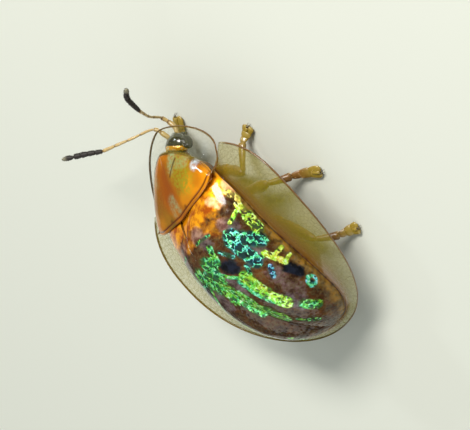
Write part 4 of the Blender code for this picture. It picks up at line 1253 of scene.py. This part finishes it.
def placeCamera():
    elevation, azimuth, roll = (radians(view[key]) for key in ("elevation", "azimuth", "roll"))
    back = Vector((sin(azimuth) * cos(elevation), -cos(azimuth) * cos(elevation), sin(elevation)))
    level = Vector((cos(azimuth), sin(azimuth), 0))
    upright = back.cross(level)
    across = level * cos(roll) + upright * sin(roll)
    upward = -level * sin(roll) + upright * cos(roll)
    offX = -(view["centreX"] - view["width"] / 2) / view["pixelsPerMm"]
    offY = (view["centreY"] - view["height"] / 2) / view["pixelsPerMm"]
    data = bpy.data.cameras.new("camera")
    data.sensor_width = 36
    data.lens = view["pixelsPerMm"] * view["distance"] / view["width"] * data.sensor_width
    data.clip_start, data.clip_end = 0.001, 5.0
    camera = placeInScene("camera", data)
    camera.matrix_world = Matrix((across, upward, back)).transposed().to_4x4()
    camera.matrix_world.translation = (
        Vector(bodyOrigin) + (back * view["distance"] + across * offX + upward * offY) * mm)
    bpy.context.scene.camera = camera


# Soft lamps: the way each one stands from the beetle, distance and size in mm, power in watts, colour.
lamps = {
    "key": ((-0.597, -0.532, 0.6), 100.0, (58.0, 25.0), 0.118, (1, 0.98, 0.95)),
    "front": ((0.0, -0.926, 0.413), 100.0, (11.0, 11.0), 0.012, (0.85, 0.95, 1)),
    "fill": ((0.30, 0.75, 0.60), 120.0, (120.0, 120.0), 0.055, (0.95, 1, 1)),
}
skyLight = {"colour": (0.82, 0.86, 0.84, 1), "low": 0.15, "high": 0.38}      # strengths, low and overhead
board = {"halfSide": 0.5, "colour": "#dadcd0", "roughness": 0.7, "drop": 0.002 * mm}     # in metres


def placeLamps():
    for name, (way, distance, size, power, tint) in lamps.items():
        data = bpy.data.lights.new(name, "AREA")
        data.shape = "ELLIPSE"
        data.size, data.size_y = (length * mm for length in size)
        data.energy = power
        data.color = tint
        lamp = placeInScene(name, data)
        way = Vector(way).normalized()
        lamp.location = Vector(bodyOrigin) + way * distance * mm
        lamp.rotation_euler = way.to_track_quat("Z", "Y").to_euler()


def placeSky():                   # a pale dome, brighter toward the top
    sky = bpy.data.worlds.new("sky")
    sky.use_nodes = True
    tree = sky.node_tree
    place = addNode(tree, "TexCoord")
    height = addNode(tree, "SeparateXYZ", {"Vector": place.outputs["Generated"]})
    glow = addNode(tree, "MapRange", [height.outputs["Z"], 0, 1, skyLight["low"], skyLight["high"]])
    giveInputs(tree, tree.nodes["Background"], {"Color": skyLight["colour"], "Strength": glow})
    bpy.context.scene.world = sky


def makeFloor():
    floor = bpy.data.meshes.new("floor")
    half = board["halfSide"]
    corners = [(-half, -half, 0), (half, -half, 0), (half, half, 0), (-half, half, 0)]
    floor.from_pydata(corners, [], [(0, 1, 2, 3)])
    # matt painted board: pale and even, so that the shadow stays soft
    floor.materials.append(startMaterial("paleBoard", {
        "Roughness": board["roughness"], "Base Color": board["colour"]})[0])
    piece = placeInScene("floor", floor)
    piece.location.z = -board["drop"]


bpy.context.scene.view_settings.view_transform = "Standard"
placeCamera()
placeLamps()
placeSky()
makeFloor()
print("camera, light and floor done")
